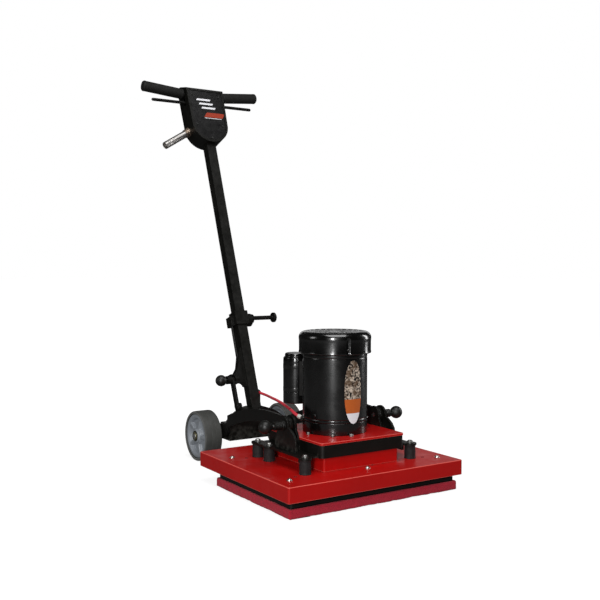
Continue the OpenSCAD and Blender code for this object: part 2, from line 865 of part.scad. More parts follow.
module hand_grips() {
    color(rubber) on_mast() translate([0, -bar_n, bar_s])
        for (s = [-1, 1]) rotate([0, s > 0 ? 90 - bar_rise : bar_rise - 90, 0]) difference() {
            union() {
                translate([0, 0, grip_start - 4]) cylinder(h = grip_len, r = grip_r);
                translate([0, 0, grip_start - 4 + grip_len]) cylinder(h = 3, r = grip_r - 2);
            }
            translate([0, 0, 20]) cylinder(h = grip_start + grip_len - 26, r = bar_r);
        }
}

module switch_box() {
    color(grey) on_mast() union() {
        translate([-40, -24 - bar_n, mast_top]) cube([80, 44, 4]);
        translate([-22, -20, mast_top]) cube([44, 30, 30]);
        // Two pins on which the levers rock
        for (s = [-1, 1]) translate([s * lever_pivot_x, 20 - bar_n, lever_s]) rotate([90, 0, 0])
            cylinder(h = 40, r = 2.5);
        for (s = [-1, 1], y = [16, -24]) translate([s * lever_pivot_x - 6, y - bar_n, mast_top])
            cube([12, 4, lever_s - mast_top + 8]);
    }
}

module inlet_place() {
    translate([inlet_x, -inlet_n, inlet_s]) rotate([0, -90 - inlet_drop, 0]) children();
}

module power_inlet() {
    color(steel) on_mast() difference() {
        union() {
            inlet_place() translate([0, 0, -12]) cylinder(h = 22, r = 10);
            difference() {
                inlet_place() union() {
                    cylinder(h = 12, r = 15);
                    translate([0, 0, 12]) cylinder(h = 10, r = 13.5);
                    translate([0, 0, 22]) cylinder(h = 90, r = 11.5);
                }
                translate([0, 0, housing_base]) housing_solid(0);
            }
        }
        inlet_place() translate([0, 0, 100]) cylinder(h = 13, r = 8.5);
    }
}

// ---- Mast plunger, strut and levers ----

module mast_plunger() {
    color(black) on_mast() translate([0, 0, lock_s]) union() {
        along_x(plunger_tip, shoulder_x, plunger_r);
        along_x(shoulder_x, shoulder_x - 1.5, 7.6);
        along_x(shoulder_x, plunger_x + knob_r - 2, 4);
        translate([plunger_x, 0, 0]) rotate([0, -90, 0]) ball_knob(knob_r, 5, knob_r + 0.4);
    }
}

module mast_plunger_spring() {
    start = shoulder_x - 2.4;
    color(steel) on_mast() translate([start, 0, lock_s]) rotate([0, -90, 0]) coil(5.8, 0.6, 8.4, 3);
}

lock_y = pivot_y + lock_s * sin(mast_lean);
lock_z = pivot_z + lock_s * cos(mast_lean);
strut_reach = norm([lock_y - strut_y, lock_z - strut_z]);
strut_lean = atan2(lock_y - strut_y, lock_z - strut_z);

// A flat bar that hangs from the plunger; its lower slot rides on the cross member's pin.
module adjuster_strut() {
    slot = guide_r + 1;
    slot_up = strut_reach - 3;
    slot_down = strut_reach + 6;
    color(black) translate([0, lock_y, lock_z]) rotate([180 - strut_lean, 0, 0])
        side_plate(strut_x - strut_t / 2, strut_x + strut_t / 2) difference() {
            union() {
                circle(strut_half);
                translate([-strut_half, 0]) square([2 * strut_half, slot_down - 1.5]);
                translate([0, slot_down - 1.5]) circle(strut_half);
            }
            circle(plunger_r + running);
            translate([-slot, slot_up]) square([2 * slot, slot_down - slot_up]);
            translate([0, slot_up]) circle(slot);
            translate([0, slot_down]) circle(slot);
        }
}

module lever(s) {
    reach = 180;
    color(black) on_mast() translate([0, -bar_n, lever_s]) difference() {
        union() {
            along_x(s * lever_pivot_x, s * reach, lever_r);
            translate([s * lever_pivot_x, lever_r, 0]) rotate([90, 0, 0]) cylinder(h = 2 * lever_r, r = 8);
        }
        translate([s * lever_pivot_x, 10, 0]) rotate([90, 0, 0]) cylinder(h = 20, r = 2.5 + running);
    }
}

module left_lever() { lever(-1); }
module right_lever() { lever(1); }

deck_pan();
pedestal();
motor_plate();
isolation_frame();
pivot_ears();
frame_isolators();
isolator_bolts();
deck_screws();
driver_isolators();
motor_body();
drive_end_bell();
fan_cover();
stator();
motor_bearings();
capacitor_can();
capacitor_bracket();
motor_bolts();
motor_lead();
motor_gland();
pin_barrels();
left_pin_spring();
right_pin_spring();
motor_shaft();
rotor_core();
cooling_fan();
eccentric_hub();
driver_plate();
bearing_housing();
driver_bearing();
floor_pad();
left_lock_pin();
left_pin_knob();
right_lock_pin();
right_pin_knob();
left_arm();
right_arm();
cross_member();
axle();
axle_nuts();
mast_pivot_bolt();
lead_bracket();
left_wheel_core();
left_tyre();
right_wheel_core();
right_tyre();
mast_tube();
wrap_clamp();
wrap_peg();
lock_bracket();
handle_housing();
housing_cover();
handlebar();
hand_grips();
switch_box();
power_inlet();
mast_plunger();
mast_plunger_spring();
adjuster_strut();
left_lever();
right_lever();
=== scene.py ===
"""Orbital floor machine: the looks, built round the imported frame. In metres, +Z up, -Y at the front."""

import math

import bmesh
import bpy
from mathutils import Matrix, Vector, noise


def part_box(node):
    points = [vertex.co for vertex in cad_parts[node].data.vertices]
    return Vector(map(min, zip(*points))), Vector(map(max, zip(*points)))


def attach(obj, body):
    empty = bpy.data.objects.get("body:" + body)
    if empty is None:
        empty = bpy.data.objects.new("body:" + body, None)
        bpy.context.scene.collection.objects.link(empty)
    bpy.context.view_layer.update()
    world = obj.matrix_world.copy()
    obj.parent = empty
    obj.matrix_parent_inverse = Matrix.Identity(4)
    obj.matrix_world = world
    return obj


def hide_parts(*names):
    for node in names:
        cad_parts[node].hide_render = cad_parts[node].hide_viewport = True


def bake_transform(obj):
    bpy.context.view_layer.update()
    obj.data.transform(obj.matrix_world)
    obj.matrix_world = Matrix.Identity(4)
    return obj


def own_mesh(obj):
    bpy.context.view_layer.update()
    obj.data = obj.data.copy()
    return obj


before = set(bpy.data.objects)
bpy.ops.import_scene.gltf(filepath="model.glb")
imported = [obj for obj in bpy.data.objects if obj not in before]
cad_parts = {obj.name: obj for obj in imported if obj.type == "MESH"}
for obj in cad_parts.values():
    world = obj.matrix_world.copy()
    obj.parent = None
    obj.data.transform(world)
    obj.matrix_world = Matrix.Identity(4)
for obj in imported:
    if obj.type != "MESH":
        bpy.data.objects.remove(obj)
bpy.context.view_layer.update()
scene = bpy.context.scene
scene.view_settings.view_transform = "Standard"
MM = 0.001
TURN = 2 * math.pi
TINY = 1e-6
SIDES = {-1: "left", 1: "right"}

# The mast leans back from upright by this angle, about a pivot at the carriage.
LEAN = math.radians(19.8)
MAST_PIVOT = Vector((0, 0.413, 0.128))
ON_MAST = Matrix.Translation(MAST_PIVOT) @ Matrix.Rotation(-LEAN, 4, "X")
# The camera's place, its turn about +Z, how far it looks down, and its direction from the motor's axis.
CAMERA_AT = (-1.257, -1.801, 0.572)
CAMERA_YAW = math.radians(32.57)
CAMERA_PITCH = math.radians(2.19)
FACING = math.atan2(CAMERA_AT[1], CAMERA_AT[0])
# Where the Mix node keeps its sockets: numbers A and B, colours A and B, and the colour it gives.
MIX_NUMBERS = (2, 3)
MIX_COLOURS = (6, 7)
MIX_COLOUR_OUT = 2


# ---- Materials ----

class Finish:
    """A procedural material on the principled shader. Textures are placed in metres."""

    def __init__(self, name, colour, roughness, **sockets):
        self.material = bpy.data.materials.new(name)
        self.material.use_nodes = True
        self.tree = self.material.node_tree
        self.shader = self.tree.nodes["Principled BSDF"]
        self.shader.inputs["Base Color"].default_value = (*colour, 1)
        self.shader.inputs["Roughness"].default_value = roughness
        for socket, value in sockets.items():
            self.shader.inputs[socket.replace("_", " ")].default_value = value
        self.place = self.add("TexCoord").outputs["Object"]
        self.material.diffuse_color = (*colour, 1)

    def add(self, kind, **inputs):
        made = self.tree.nodes.new("ShaderNode" + kind)
        for socket, value in inputs.items():
            self.feed(made.inputs[socket], value)
        return made

    def feed(self, socket, value):
        if isinstance(value, bpy.types.NodeSocket):
            self.tree.links.new(value, socket)
        else:
            socket.default_value = value

    def noise(self, scale, detail=3.0, stretch=(1, 1, 1)):
        """Noise with this many cells a metre, stretched along some axes."""
        where = self.add("Mapping", Vector=self.place, Scale=stretch)
        made = self.add("TexNoise", Vector=where.outputs[0], Scale=scale, Detail=detail)
        return made.outputs["Fac"]

    def bands(self, scale, axis):
        made = self.add("TexWave", Vector=self.place, Scale=scale)
        made.bands_direction = axis
        return made.outputs["Fac"]

    def spread(self, value, low, high, out_low, out_high):
        """value, from low to high, carried to out_low to out_high."""
        made = self.add("MapRange", Value=value)
        limits = {"From Min": low, "From Max": high, "To Min": out_low, "To Max": out_high}
        for socket, number in limits.items():
            made.inputs[socket].default_value = number
        return made.outputs[0]

    def sum(self, a, b, share=0.5):
        """a mixed with b, by b's share."""
        made = self.add("Mix", Factor=share)
        for socket, value in zip(MIX_NUMBERS, (a, b)):
            self.feed(made.inputs[socket], value)
        return made.outputs[0]

    def blend(self, factor, a, b):
        made = self.add("Mix")
        made.data_type = "RGBA"
        self.feed(made.inputs[0], factor)
        for socket, colour in zip(MIX_COLOURS, (a, b)):
            linked = isinstance(colour, bpy.types.NodeSocket)
            self.feed(made.inputs[socket], colour if linked else (*colour, 1))
        return made.outputs[MIX_COLOUR_OUT]

    def colour(self, value):
        self.feed(self.shader.inputs["Base Color"], value)

    def roughness(self, value):
        self.feed(self.shader.inputs["Roughness"], value)

    def bump(self, height, depth):
        """Raises the surface by height times depth, in metres."""
        made = self.add("Bump", Height=height, Distance=depth)
        self.feed(self.shader.inputs["Normal"], made.outputs[0])

    def worn_and_highlight_edges(self, base, bare_and_highlight, amount):
        """base, with its sharp outer edges lightened towards a second colour: partly rubbed paint, partly a
        painted highlight.
        """
        sharp = self.add("NewGeometry").outputs["Pointiness"]
        edge = self.spread(sharp, 0.53, 0.60, 0.0, amount)
        broken = self.spread(self.noise(90, 4), 0.42, 0.62, 0.0, 1.0)
        both = self.add("Math")
        both.operation = "MULTIPLY"
        self.feed(both.inputs[0], edge)
        self.feed(both.inputs[1], broken)
        return self.blend(both.outputs[0], base, bare_and_highlight)


def shade(colour, factor):
    return tuple(c * factor for c in colour)


def paint(name, colour, roughness, peel, bare_and_highlight, wear_and_highlight, coat=0.10, gloss=0.5):
    """Sprayed enamel: cloudy colour, orange peel, uneven gloss, and edges lightened as rubbed paint and
    painted highlight.
    """
    made = Finish(name, colour, roughness, Coat_Weight=coat, Coat_Roughness=0.12, Specular_IOR_Level=gloss)
    cloudy = made.blend(made.noise(9, 3), shade(colour, 0.88), shade(colour, 1.10))
    made.colour(made.worn_and_highlight_edges(cloudy, bare_and_highlight, wear_and_highlight))
    made.roughness(made.spread(made.noise(26, 5), 0.3, 0.72, roughness - 0.06, roughness + 0.12))
    made.bump(made.sum(made.noise(420, 2), made.noise(1500, 2), 0.35), peel)
    return made.material


def ribbed_enamel():
    """Black enamel on a barrel along X, turned with even ribs."""
    rib_scale = 72
    made = Finish("ribbed_enamel", (0.0036, 0.0035, 0.0027), 0.44, Specular_IOR_Level=0.3)
    # Painted shade and highlight: the colour is darker in the rib grooves and lighter on the crests,
    # following the same bands as the bump.
    made.colour(made.blend(made.bands(rib_scale, "X"), (0.0026, 0.0025, 0.0020), (0.0070, 0.0068, 0.0055)))
    made.bump(made.bands(rib_scale, "X"), 0.0009)
    return made.material


def moulded(name, colour, roughness, grain, depth, gloss=0.5):
    """Moulded plastic with a fine even grain and slight mottling."""
    made = Finish(name, colour, roughness, Specular_IOR_Level=gloss)
    made.colour(made.blend(made.noise(30, 4), shade(colour, 0.8), shade(colour, 1.3)))
    made.roughness(made.spread(made.noise(60, 4), 0.3, 0.7, roughness - 0.07, roughness + 0.1))
    cells = made.add("TexVoronoi", Vector=made.place, Scale=grain).outputs["Distance"]
    made.bump(cells, depth)
    return made.material


def rubber(name, colour, dust):
    """Matte rubber with a chalky bloom that gathers in patches."""
    made = Finish(name, colour, 0.7, Specular_IOR_Level=0.35)
    bloom = made.spread(made.noise(38, 6), 0.42, 0.75, 0.0, 0.5)
    made.colour(made.blend(bloom, colour, dust))
    made.roughness(made.spread(made.noise(120, 4), 0.3, 0.7, 0.58, 0.85))
    made.bump(made.sum(made.noise(900, 3), made.noise(260, 3)), 0.00012)
    return made.material


def metal(name, colour, roughness, stain, scratch=(1, 1, 12)):
    """Plated or machined metal, with fine scratches and dull spots."""
    made = Finish(name, colour, roughness, Metallic=1.0)
    made.colour(made.blend(made.spread(made.noise(140, 5), 0.45, 0.8, 0.0, 0.8), colour, stain))
    made.roughness(made.spread(made.noise(320, 4), 0.3, 0.7, roughness - 0.08, roughness + 0.16))
    made.bump(made.noise(700, 3, scratch), 0.00004)
    return made.material


def pad_fibre():
    """Non-woven pad: matted fibres, paler where the bump raises them and darker in its hollows, as fibre tone
    and painted shade.
    """
    made = Finish("pad_fibre", (0.42, 0.018, 0.035), 0.95, Sheen_Weight=0.08, Sheen_Roughness=0.6,
                  Specular_IOR_Level=0.15)
    strands = made.sum(made.noise(850, 6, (1, 1, 0.35)), made.noise(1600, 4))
    # Partly painted shade and highlight: the colour follows the strands that also raise the bump, darker in
    # the hollows and paler on the raised fibres.
    fibre_tone_and_shade = made.blend(made.spread(strands, 0.36, 0.62, 0, 1), (0.20, 0.006, 0.014), (0.66, 0.026, 0.056))
    patch = made.spread(made.noise(22, 4), 0.35, 0.75, 0.0, 0.45)
    made.colour(made.blend(patch, fibre_tone_and_shade, (0.47, 0.030, 0.050)))
    made.bump(made.sum(strands, made.noise(210, 3), 0.4), 0.0016)
    return made.material


def lamination_stack():
    """Bare steel sheets on edge, stacked along Z."""
    made = Finish("lamination_stack", (0.26, 0.26, 0.27), 0.45, Metallic=1.0)
    made.colour(made.blend(made.noise(70, 4), (0.16, 0.15, 0.15), (0.30, 0.29, 0.28)))
    made.bump(made.bands(320, "Z"), 0.0002)
    return made.material


def motor_decal():
    """Mottled print for the field of the motor's label, with no lettering."""
    made = Finish("motor_decal", (0.3, 0.25, 0.2), 0.45, Specular_IOR_Level=0.3)
    specks = made.spread(made.noise(210, 4), 0.44, 0.58, 0, 1)
    speckle = made.blend(specks, (0.010, 0.008, 0.008), (0.62, 0.52, 0.42))
    cloud = made.spread(made.noise(52, 3), 0.46, 0.58, 0.0, 0.85)
    made.colour(made.blend(cloud, speckle, (0.120, 0.075, 0.045)))
    made.bump(made.noise(400, 2), 0.00003)
    return made.material


def plain_decal(name, colour):
    """Printed film: nearly flat colour with faint ink mottle."""
    made = Finish(name, colour, 0.45, Specular_IOR_Level=0.3)
    made.colour(made.blend(made.noise(900, 2), shade(colour, 0.90), shade(colour, 1.06)))
    made.bump(made.noise(500, 2), 0.00003)
    return made.material


# Painted highlight: the red enamel's pinkish edge colour, and the second, lighter red laid on bevel faces,
# stand in for bright reflections along rounded edges.
RED = paint("red_enamel", (0.450, 0.0042, 0.0034), roughness=0.36, peel=0.00007,
            bare_and_highlight=(0.75, 0.10, 0.08), wear_and_highlight=0.5, coat=0.06, gloss=0.32)
EDGE_HIGHLIGHT_RED = paint("painted_edge_highlight_red", (0.74, 0.105, 0.085), roughness=0.32, peel=0.00005,
                   bare_and_highlight=(0.80, 0.25, 0.21), wear_and_highlight=0.5)
# The darker paints' greyer edge colours are partly rubbed paint and partly painted highlight.
BLACK = paint("black_enamel", (0.0036, 0.0035, 0.0027), roughness=0.42, peel=0.00009,
              bare_and_highlight=(0.045, 0.043, 0.038), wear_and_highlight=0.6, coat=0.04, gloss=0.26)
RIBBED = ribbed_enamel()
MOTOR = paint("motor_enamel", (0.0022, 0.0021, 0.0020), roughness=0.24, peel=0.000006,
              bare_and_highlight=(0.030, 0.029, 0.027), wear_and_highlight=0.4, coat=0.60, gloss=0.45)
GLOSSY = paint("glossy_enamel", (0.0022, 0.0021, 0.0020), roughness=0.20, peel=0.000008,
               bare_and_highlight=(0.040, 0.039, 0.037), wear_and_highlight=0.4, coat=0.90)
CAST = paint("cast_enamel", (0.0050, 0.0048, 0.0045), roughness=0.46, peel=0.00030,
             bare_and_highlight=(0.040, 0.038, 0.035), wear_and_highlight=0.5)
HOUSING = moulded("housing_plastic", (0.0036, 0.0035, 0.0026), roughness=0.42,
                  grain=1500, depth=0.00005, gloss=0.28)
COVER = moulded("cover_plastic", (0.0040, 0.0038, 0.0040), roughness=0.36,
                grain=2200, depth=0.00003, gloss=0.35)
KNOB = moulded("knob_plastic", (0.0045, 0.0045, 0.0036), roughness=0.46, grain=700, depth=0.00001)
GRIP = rubber("grip_rubber", (0.0034, 0.0034, 0.0025), dust=(0.009, 0.0088, 0.0075))
MOUNT = rubber("mount_rubber", (0.0075, 0.0078, 0.0080), dust=(0.024, 0.025, 0.026))
POST = rubber("post_rubber", (0.085, 0.083, 0.080), dust=(0.16, 0.155, 0.15))
TREAD = rubber("tread_rubber", (0.050, 0.051, 0.047), dust=(0.085, 0.085, 0.082))
TYRE = rubber("tyre_rubber", (0.120, 0.122, 0.117), dust=(0.18, 0.18, 0.175))
CORE = moulded("wheel_plastic", (0.25, 0.27, 0.295), roughness=0.40, grain=900, depth=0.00005)
# Painted shade: a dark grey laid only in the hollow round the wheel nut.
NUT_RECESS_SHADE = moulded("painted_nut_recess_shade", (0.060, 0.062, 0.052), roughness=0.45, grain=900, depth=0.00005)
ZINC = metal("zinc_plate", (0.66, 0.65, 0.62), roughness=0.27, stain=(0.40, 0.36, 0.28))
YELLOW_ZINC = metal("yellow_zinc", (0.36, 0.34, 0.22), roughness=0.36, stain=(0.18, 0.15, 0.07))
DULL_ZINC = metal("dull_zinc", (0.30, 0.30, 0.29), roughness=0.40, stain=(0.12, 0.11, 0.09))
STEEL = metal("machined_steel", (0.56, 0.56, 0.56), roughness=0.28, stain=(0.34, 0.33, 0.31))
INLET = metal("inlet_barrel", (0.54, 0.52, 0.50), roughness=0.36,
              stain=(0.16, 0.14, 0.13), scratch=(12, 1, 1))
COLLAR = metal("inlet_collar", (0.40, 0.31, 0.24), roughness=0.36, stain=(0.15, 0.10, 0.07))
LAMINATIONS = lamination_stack()
PAD = pad_fibre()
JACKET = moulded("lead_jacket", (0.74, 0.050, 0.075), roughness=0.30, grain=500, depth=0.00004)
NYLON = moulded("white_nylon", (0.62, 0.60, 0.56), roughness=0.40, grain=700, depth=0.00004)
SPECKLE = motor_decal()
ORANGE = plain_decal("orange_print", (0.50, 0.115, 0.022))
WHITE = plain_decal("white_print", (0.80, 0.80, 0.83))
RUST = plain_decal("rust_print", (0.33, 0.038, 0.016))
# Painted shade: a near-black matte material laid in holes and slot floors where only shade would show.
HOLE_SHADE = moulded("painted_hole_shade", (0.004, 0.004, 0.004), roughness=0.8, grain=500, depth=0.00005)


# ---- Mesh helpers ----

def finished(name, bm, material, body, replaces=(), smooth=True):
    """Turns bm into a piece that rides on a body and stands for the CAD nodes it replaces."""
    bmesh.ops.recalc_face_normals(bm, faces=bm.faces)
    for face in bm.faces:
        face.smooth = smooth
    mesh = bpy.data.meshes.new(name)
    bm.to_mesh(mesh)
    bm.free()
    for m in material if isinstance(material, (list, tuple)) else [material]:
        mesh.materials.append(m)
    obj = bpy.data.objects.new(name, mesh)
    scene.collection.objects.link(obj)
    if smooth:
        weigh = obj.modifiers.new("even_normals", "WEIGHTED_NORMAL")
        weigh.keep_sharp = True
    if body:
        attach(obj, body)
    if replaces:
        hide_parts(*replaces)
    return obj


def rounded(points, radius, steps=3):
    """A profile with every inner corner rounded."""
    out = [Vector(points[0])]
    for before, here, after in zip(points, points[1:], points[2:]):
        a, h, b = Vector(before), Vector(here), Vector(after)
        reach = min(radius, (a - h).length * 0.45, (b - h).length * 0.45)
        start = h + (a - h).normalized() * reach
        end = h + (b - h).normalized() * reach
        for i in range(steps + 1):
            t = i / steps
            out.append(start.lerp(h, t).lerp(h.lerp(end, t), t))
    out.append(Vector(points[-1]))
    return out


def polar(r, a, z=0.0):
    return Vector((r * math.cos(a), r * math.sin(a), z))


def panel(bm, low, high, k, slot=0):
    """The face at step k between two rings; either may be a single point."""
    n = (k + 1) % max(len(low), len(high))
    corners = [low[k % len(low)], low[n % len(low)], high[n % len(high)], high[k % len(high)]]
    corners = [v for i, v in enumerate(corners) if v not in corners[:i]]
    if len(corners) > 2:
        bm.faces.new(corners).material_index = slot


def bridge(bm, low, high, slot=0):
    """A band of faces between two rings."""
    for k in range(max(len(low), len(high))):
        panel(bm, low, high, k, slot)


def turned(bm, profile, place=Matrix.Identity(4), steps=48, radius=None, slot=0):
    """Turns a profile of (radius, height) points about the local Z axis."""
    rings = []
    for r, z in profile:
        if r < TINY:
            rings.append([bm.verts.new(place @ Vector((0, 0, z)))])
            continue
        ring = []
        for k in range(steps):
            a = TURN * k / steps
            real = radius(r, z, a) if radius else r
            ring.append(bm.verts.new(place @ polar(real, a, z)))
        rings.append(ring)
    for low, high in zip(rings, rings[1:]):
        bridge(bm, low, high, slot)


def hexagonal(across):
    """A radius rule for turned(): nothing stands outside a hexagon of that width across its flats."""
    def rule(r, z, a):
        off = (a + TURN / 12) % (TURN / 6) - TURN / 12
        return min(r, across / 2 / math.cos(off))
    return rule


def facing(direction, at):
    """A placement whose local Z axis points along direction."""
    return Matrix.Translation(Vector(at)) @ Vector(direction).to_track_quat("Z", "Y").to_matrix().to_4x4()


def washer(bm, place, outer, inner, thick):
    ring = rounded([(inner, 0), (outer, 0), (outer, thick), (inner, thick)], 0.0003, 2)
    turned(bm, ring, place, 32)


def hex_bolt(bm, place, across, height, washer_r):
    """A chamfered hexagon head on a washer, with a shallow dish in its top."""
    thick = 0.0014
    corner = across / 2 / math.cos(TURN / 12)
    dish, brim, flat = across * 0.30, across * 0.36, across * 0.47
    washer(bm, place, washer_r, dish, thick)
    head = [(0, height - 0.0006), (dish, height - 0.0006), (brim, height), (flat, height),
            (corner, height - 0.0012), (corner, 0.0006), (flat, 0)]
    turned(bm, head, place @ Matrix.Translation((0, 0, thick)), 48, hexagonal(across))


def dome_screw(bm, place, head_r, height):
    """A domed screw on a washer, with a round socket in its crown."""
    thick = 0.0011
    washer(bm, place, head_r * 1.45, head_r * 0.5, thick)
    socket, sunk_to = head_r * 0.42, height * 0.35
    dome = [(head_r * math.cos(t), height * math.sin(t)) for t in [i * math.pi / 18 for i in range(8)]]
    sunk = [(0, sunk_to), (socket, sunk_to), (socket, height * 0.90)]
    turned(bm, sunk + dome[::-1], place @ Matrix.Translation((0, 0, thick)), 36)


def swept(bm, points, radius, sides):
    """A closed tube along points; radius may be a number or a rule of the share along it."""
    last = len(points) - 1
    rings, side = [], None
    for i, p in enumerate(points):
        way = (points[min(i + 1, last)] - points[max(i - 1, 0)]).normalized()
        if side is None:
            side = way.orthogonal().normalized()
        side = (side - way * side.dot(way)).normalized()
        other = way.cross(side)
        r = radius(i / last) if callable(radius) else radius
        ring = []
        for k in range(sides):
            a = TURN * k / sides
            ring.append(bm.verts.new(p + r * (math.cos(a) * side + math.sin(a) * other)))
        rings.append(ring)
    for low, high in zip(rings, rings[1:]):
        bridge(bm, low, high)
    bm.faces.new(rings[0][::-1])
    bm.faces.new(rings[-1])


def smooth_route(points, per_span=6):
    """Points along a curve that passes through every given point."""
    ends = [2 * points[0] - points[1]] + points + [2 * points[-1] - points[-2]]
    out = []
    for a, b, c, d in zip(ends, ends[1:], ends[2:], ends[3:]):
        for i in range(per_span):
            t = i / per_span
            out.append(0.5 * (2 * b + (c - a) * t + (2 * a - 5 * b + 4 * c - d) * t * t
                              + (3 * b - a - 3 * c + d) * t ** 3))
    return out + [points[-1]]


# ---- CAD nodes whose shape is right ----

# The width of each CAD node's softened edges, by material.
DRESSED = (
    (RED, {"deck_pan": 0.0020, "pedestal": 0.0013, "motor_plate": 0.0010}),
    (BLACK, {"isolation_frame": 0.0014, "pivot_ears": 0.0012, "left_arm": 0.0012, "right_arm": 0.0012,
             "cross_member": 0.0018, "mast_tube": 0.0028, "wrap_clamp": 0.0016, "wrap_peg": 0.0014,
             "lock_bracket": 0.0010, "adjuster_strut": 0.0008, "handlebar": 0.0006, "driver_plate": 0.0016,
             "bearing_housing": 0.0010, "lead_bracket": 0.0006}),
    (RIBBED, {"pin_barrels": 0.0008}),
    (MOTOR, {"drive_end_bell": 0.0012}),
    (CAST, {"capacitor_bracket": 0.0008}),
    (HOUSING, {"handle_housing": 0.0026}),
    (COVER, {"housing_cover": 0.0006}),
    (KNOB, {"switch_box": 0.0008, "motor_gland": 0.0006, "cooling_fan": 0.0004}),
    (LAMINATIONS, {"stator": 0.0008, "rotor_core": 0.0008}),
    (STEEL, dict.fromkeys(("motor_bearings", "driver_bearing", "motor_shaft", "eccentric_hub",
                           "left_lock_pin", "right_lock_pin", "axle"), 0.0006)),
    (ZINC, {"mast_pivot_bolt": 0.0006}),
)


def dress(node, material, edge, highlight_material=None):
    """Gives a CAD node its material, and softens its edges with modifiers; a second material, when given,
    colours the bevel faces as a painted edge highlight.
    """
    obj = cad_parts[node]
    obj.data.materials.clear()
    obj.data.materials.append(material)
    weld = obj.modifiers.new("weld", "WELD")
    weld.merge_threshold = 0.00001
    flat = obj.modifiers.new("flat_faces", "DECIMATE")
    flat.decimate_type = "DISSOLVE"
    flat.angle_limit = math.radians(0.4)
    soft = obj.modifiers.new("soft_edges", "BEVEL")
    soft.width = edge
    soft.segments = 3
    soft.angle_limit = math.radians(38)
    soft.miter_outer = "MITER_ARC"
    if highlight_material:
        obj.data.materials.append(highlight_material)
        soft.material = 1
    obj.modifiers.new("even_normals", "WEIGHTED_NORMAL")


def dress_cad_nodes():
    for material, edges in DRESSED:
        for node, edge in edges.items():
            # The red parts' bevel faces take the painted edge highlight.
            dress(node, material, edge, EDGE_HIGHLIGHT_RED if material == RED else None)


# ---- Deck and pad ----

# The pad's rings: how far each stands in from the side, and its share of the pad's height.
PAD_RINGS = ((0.06, 0.0), (0.012, 0.0), (0.003, 0.02), (0.0, 0.10), (0.0, 0.3), (0.0, 0.5), (0.0, 0.7),
             (0.0006, 0.90), (0.002, 0.985), (0.010, 1.0), (0.06, 1.0))


def pad_outline(x, y, corner, step):
    """Evenly spaced points round a rectangle whose corners are rounded about (x, y)."""
    around = []
    for cx, cy, start in ((1, -1, -90), (1, 1, 0), (-1, 1, 90), (-1, -1, 180)):
        for i in range(9):
            a = math.radians(start + i * 90 / 8)
            around.append(Vector((cx * x + corner * math.cos(a), cy * y + corner * math.sin(a), 0)))
    dense = []
    for a, b in zip(around, around[1:] + around[:1]):
        count = max(1, round((b - a).length / step))
        dense += [a.lerp(b, i / count) for i in range(count)]
    return dense


def ripple(p, cells, drift=0.0):
    return noise.noise(p * cells + Vector((0, 0, drift)))


def floor_pad():
    """A thick fibrous pad: ragged sides that draw in a little, and a lower edge that waves."""
    low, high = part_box("floor_pad")
    middle = (low + high) / 2
    thick = high.z - low.z
    corner, step, edge_zone = 0.005, 0.0035, 0.02
    x, y = (high.x - low.x) / 2 - corner, (high.y - low.y) / 2 - corner
    outline = pad_outline(x, y, corner, step)
    bm = bmesh.new()
    rings = []
    for inset, share in PAD_RINGS:
        ring = []
        for p in outline:
            inward = Vector((max(-x, min(x, p.x)), max(-y, min(y, p.y)), 0)) - p
            pull = inward.normalized() if inward.length > TINY else Vector((0, 0, 0))
            ragged = 0.0009 * (ripple(p, 70, share * 2) + 0.5)
            ragged += 0.0005 * (ripple(p, 260, share * 7) + 0.4)
            wave = 0.0016 * (ripple(p, 22) + 0.35) + 0.0009 * (ripple(p, 90) + 0.2)
            lift = max(0.0, wave) * (1 - share) if inset < edge_zone else 0
            at = p + pull * (inset + max(0.0, ragged))
            ring.append(bm.verts.new((middle.x + at.x, middle.y + at.y, low.z + share * thick + lift)))
        rings.append(ring)
    for a, b in zip(rings, rings[1:]):
        bridge(bm, a, b)
    bm.faces.new(rings[0][::-1])
    bm.faces.new(rings[-1])
    finished("fibre_pad", bm, PAD, "driver", ["floor_pad"])


def screws_and_holes():
    """Six domed screws in the deck's top, each with a spare hole beside it: a shallow rimmed dish in a
    near-black painted shade.
    """
    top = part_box("deck_pan")[1].z
    low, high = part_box("deck_screws")
    washer_r, aside, inboard, sunk = 0.007, 0.030, 0.022, 0.0005
    x = (high.x - low.x) / 2 - washer_r
    y = (high.y - low.y) / 2 - washer_r
    rim = rounded([(0, 0.0001), (0.0026, 0.0001), (0.0030, 0.0009), (0.0040, 0.0009), (0.0044, 0)], 0.0002, 2)
    screws, holes = bmesh.new(), bmesh.new()
    for sx in (-1, 0, 1):
        for sy in (-1, 1):
            dome_screw(screws, Matrix.Translation((sx * x, sy * y, top)), 0.0052, 0.0042)
            hole_x = sx * x + aside * (1 if sx <= 0 else -1)
            turned(holes, rim, Matrix.Translation((hole_x, sy * (y - inboard), top - sunk)), 24)
    finished("dome_screws", screws, ZINC, "deck", ["deck_screws"])
    finished("spare_holes", holes, HOLE_SHADE, "deck")


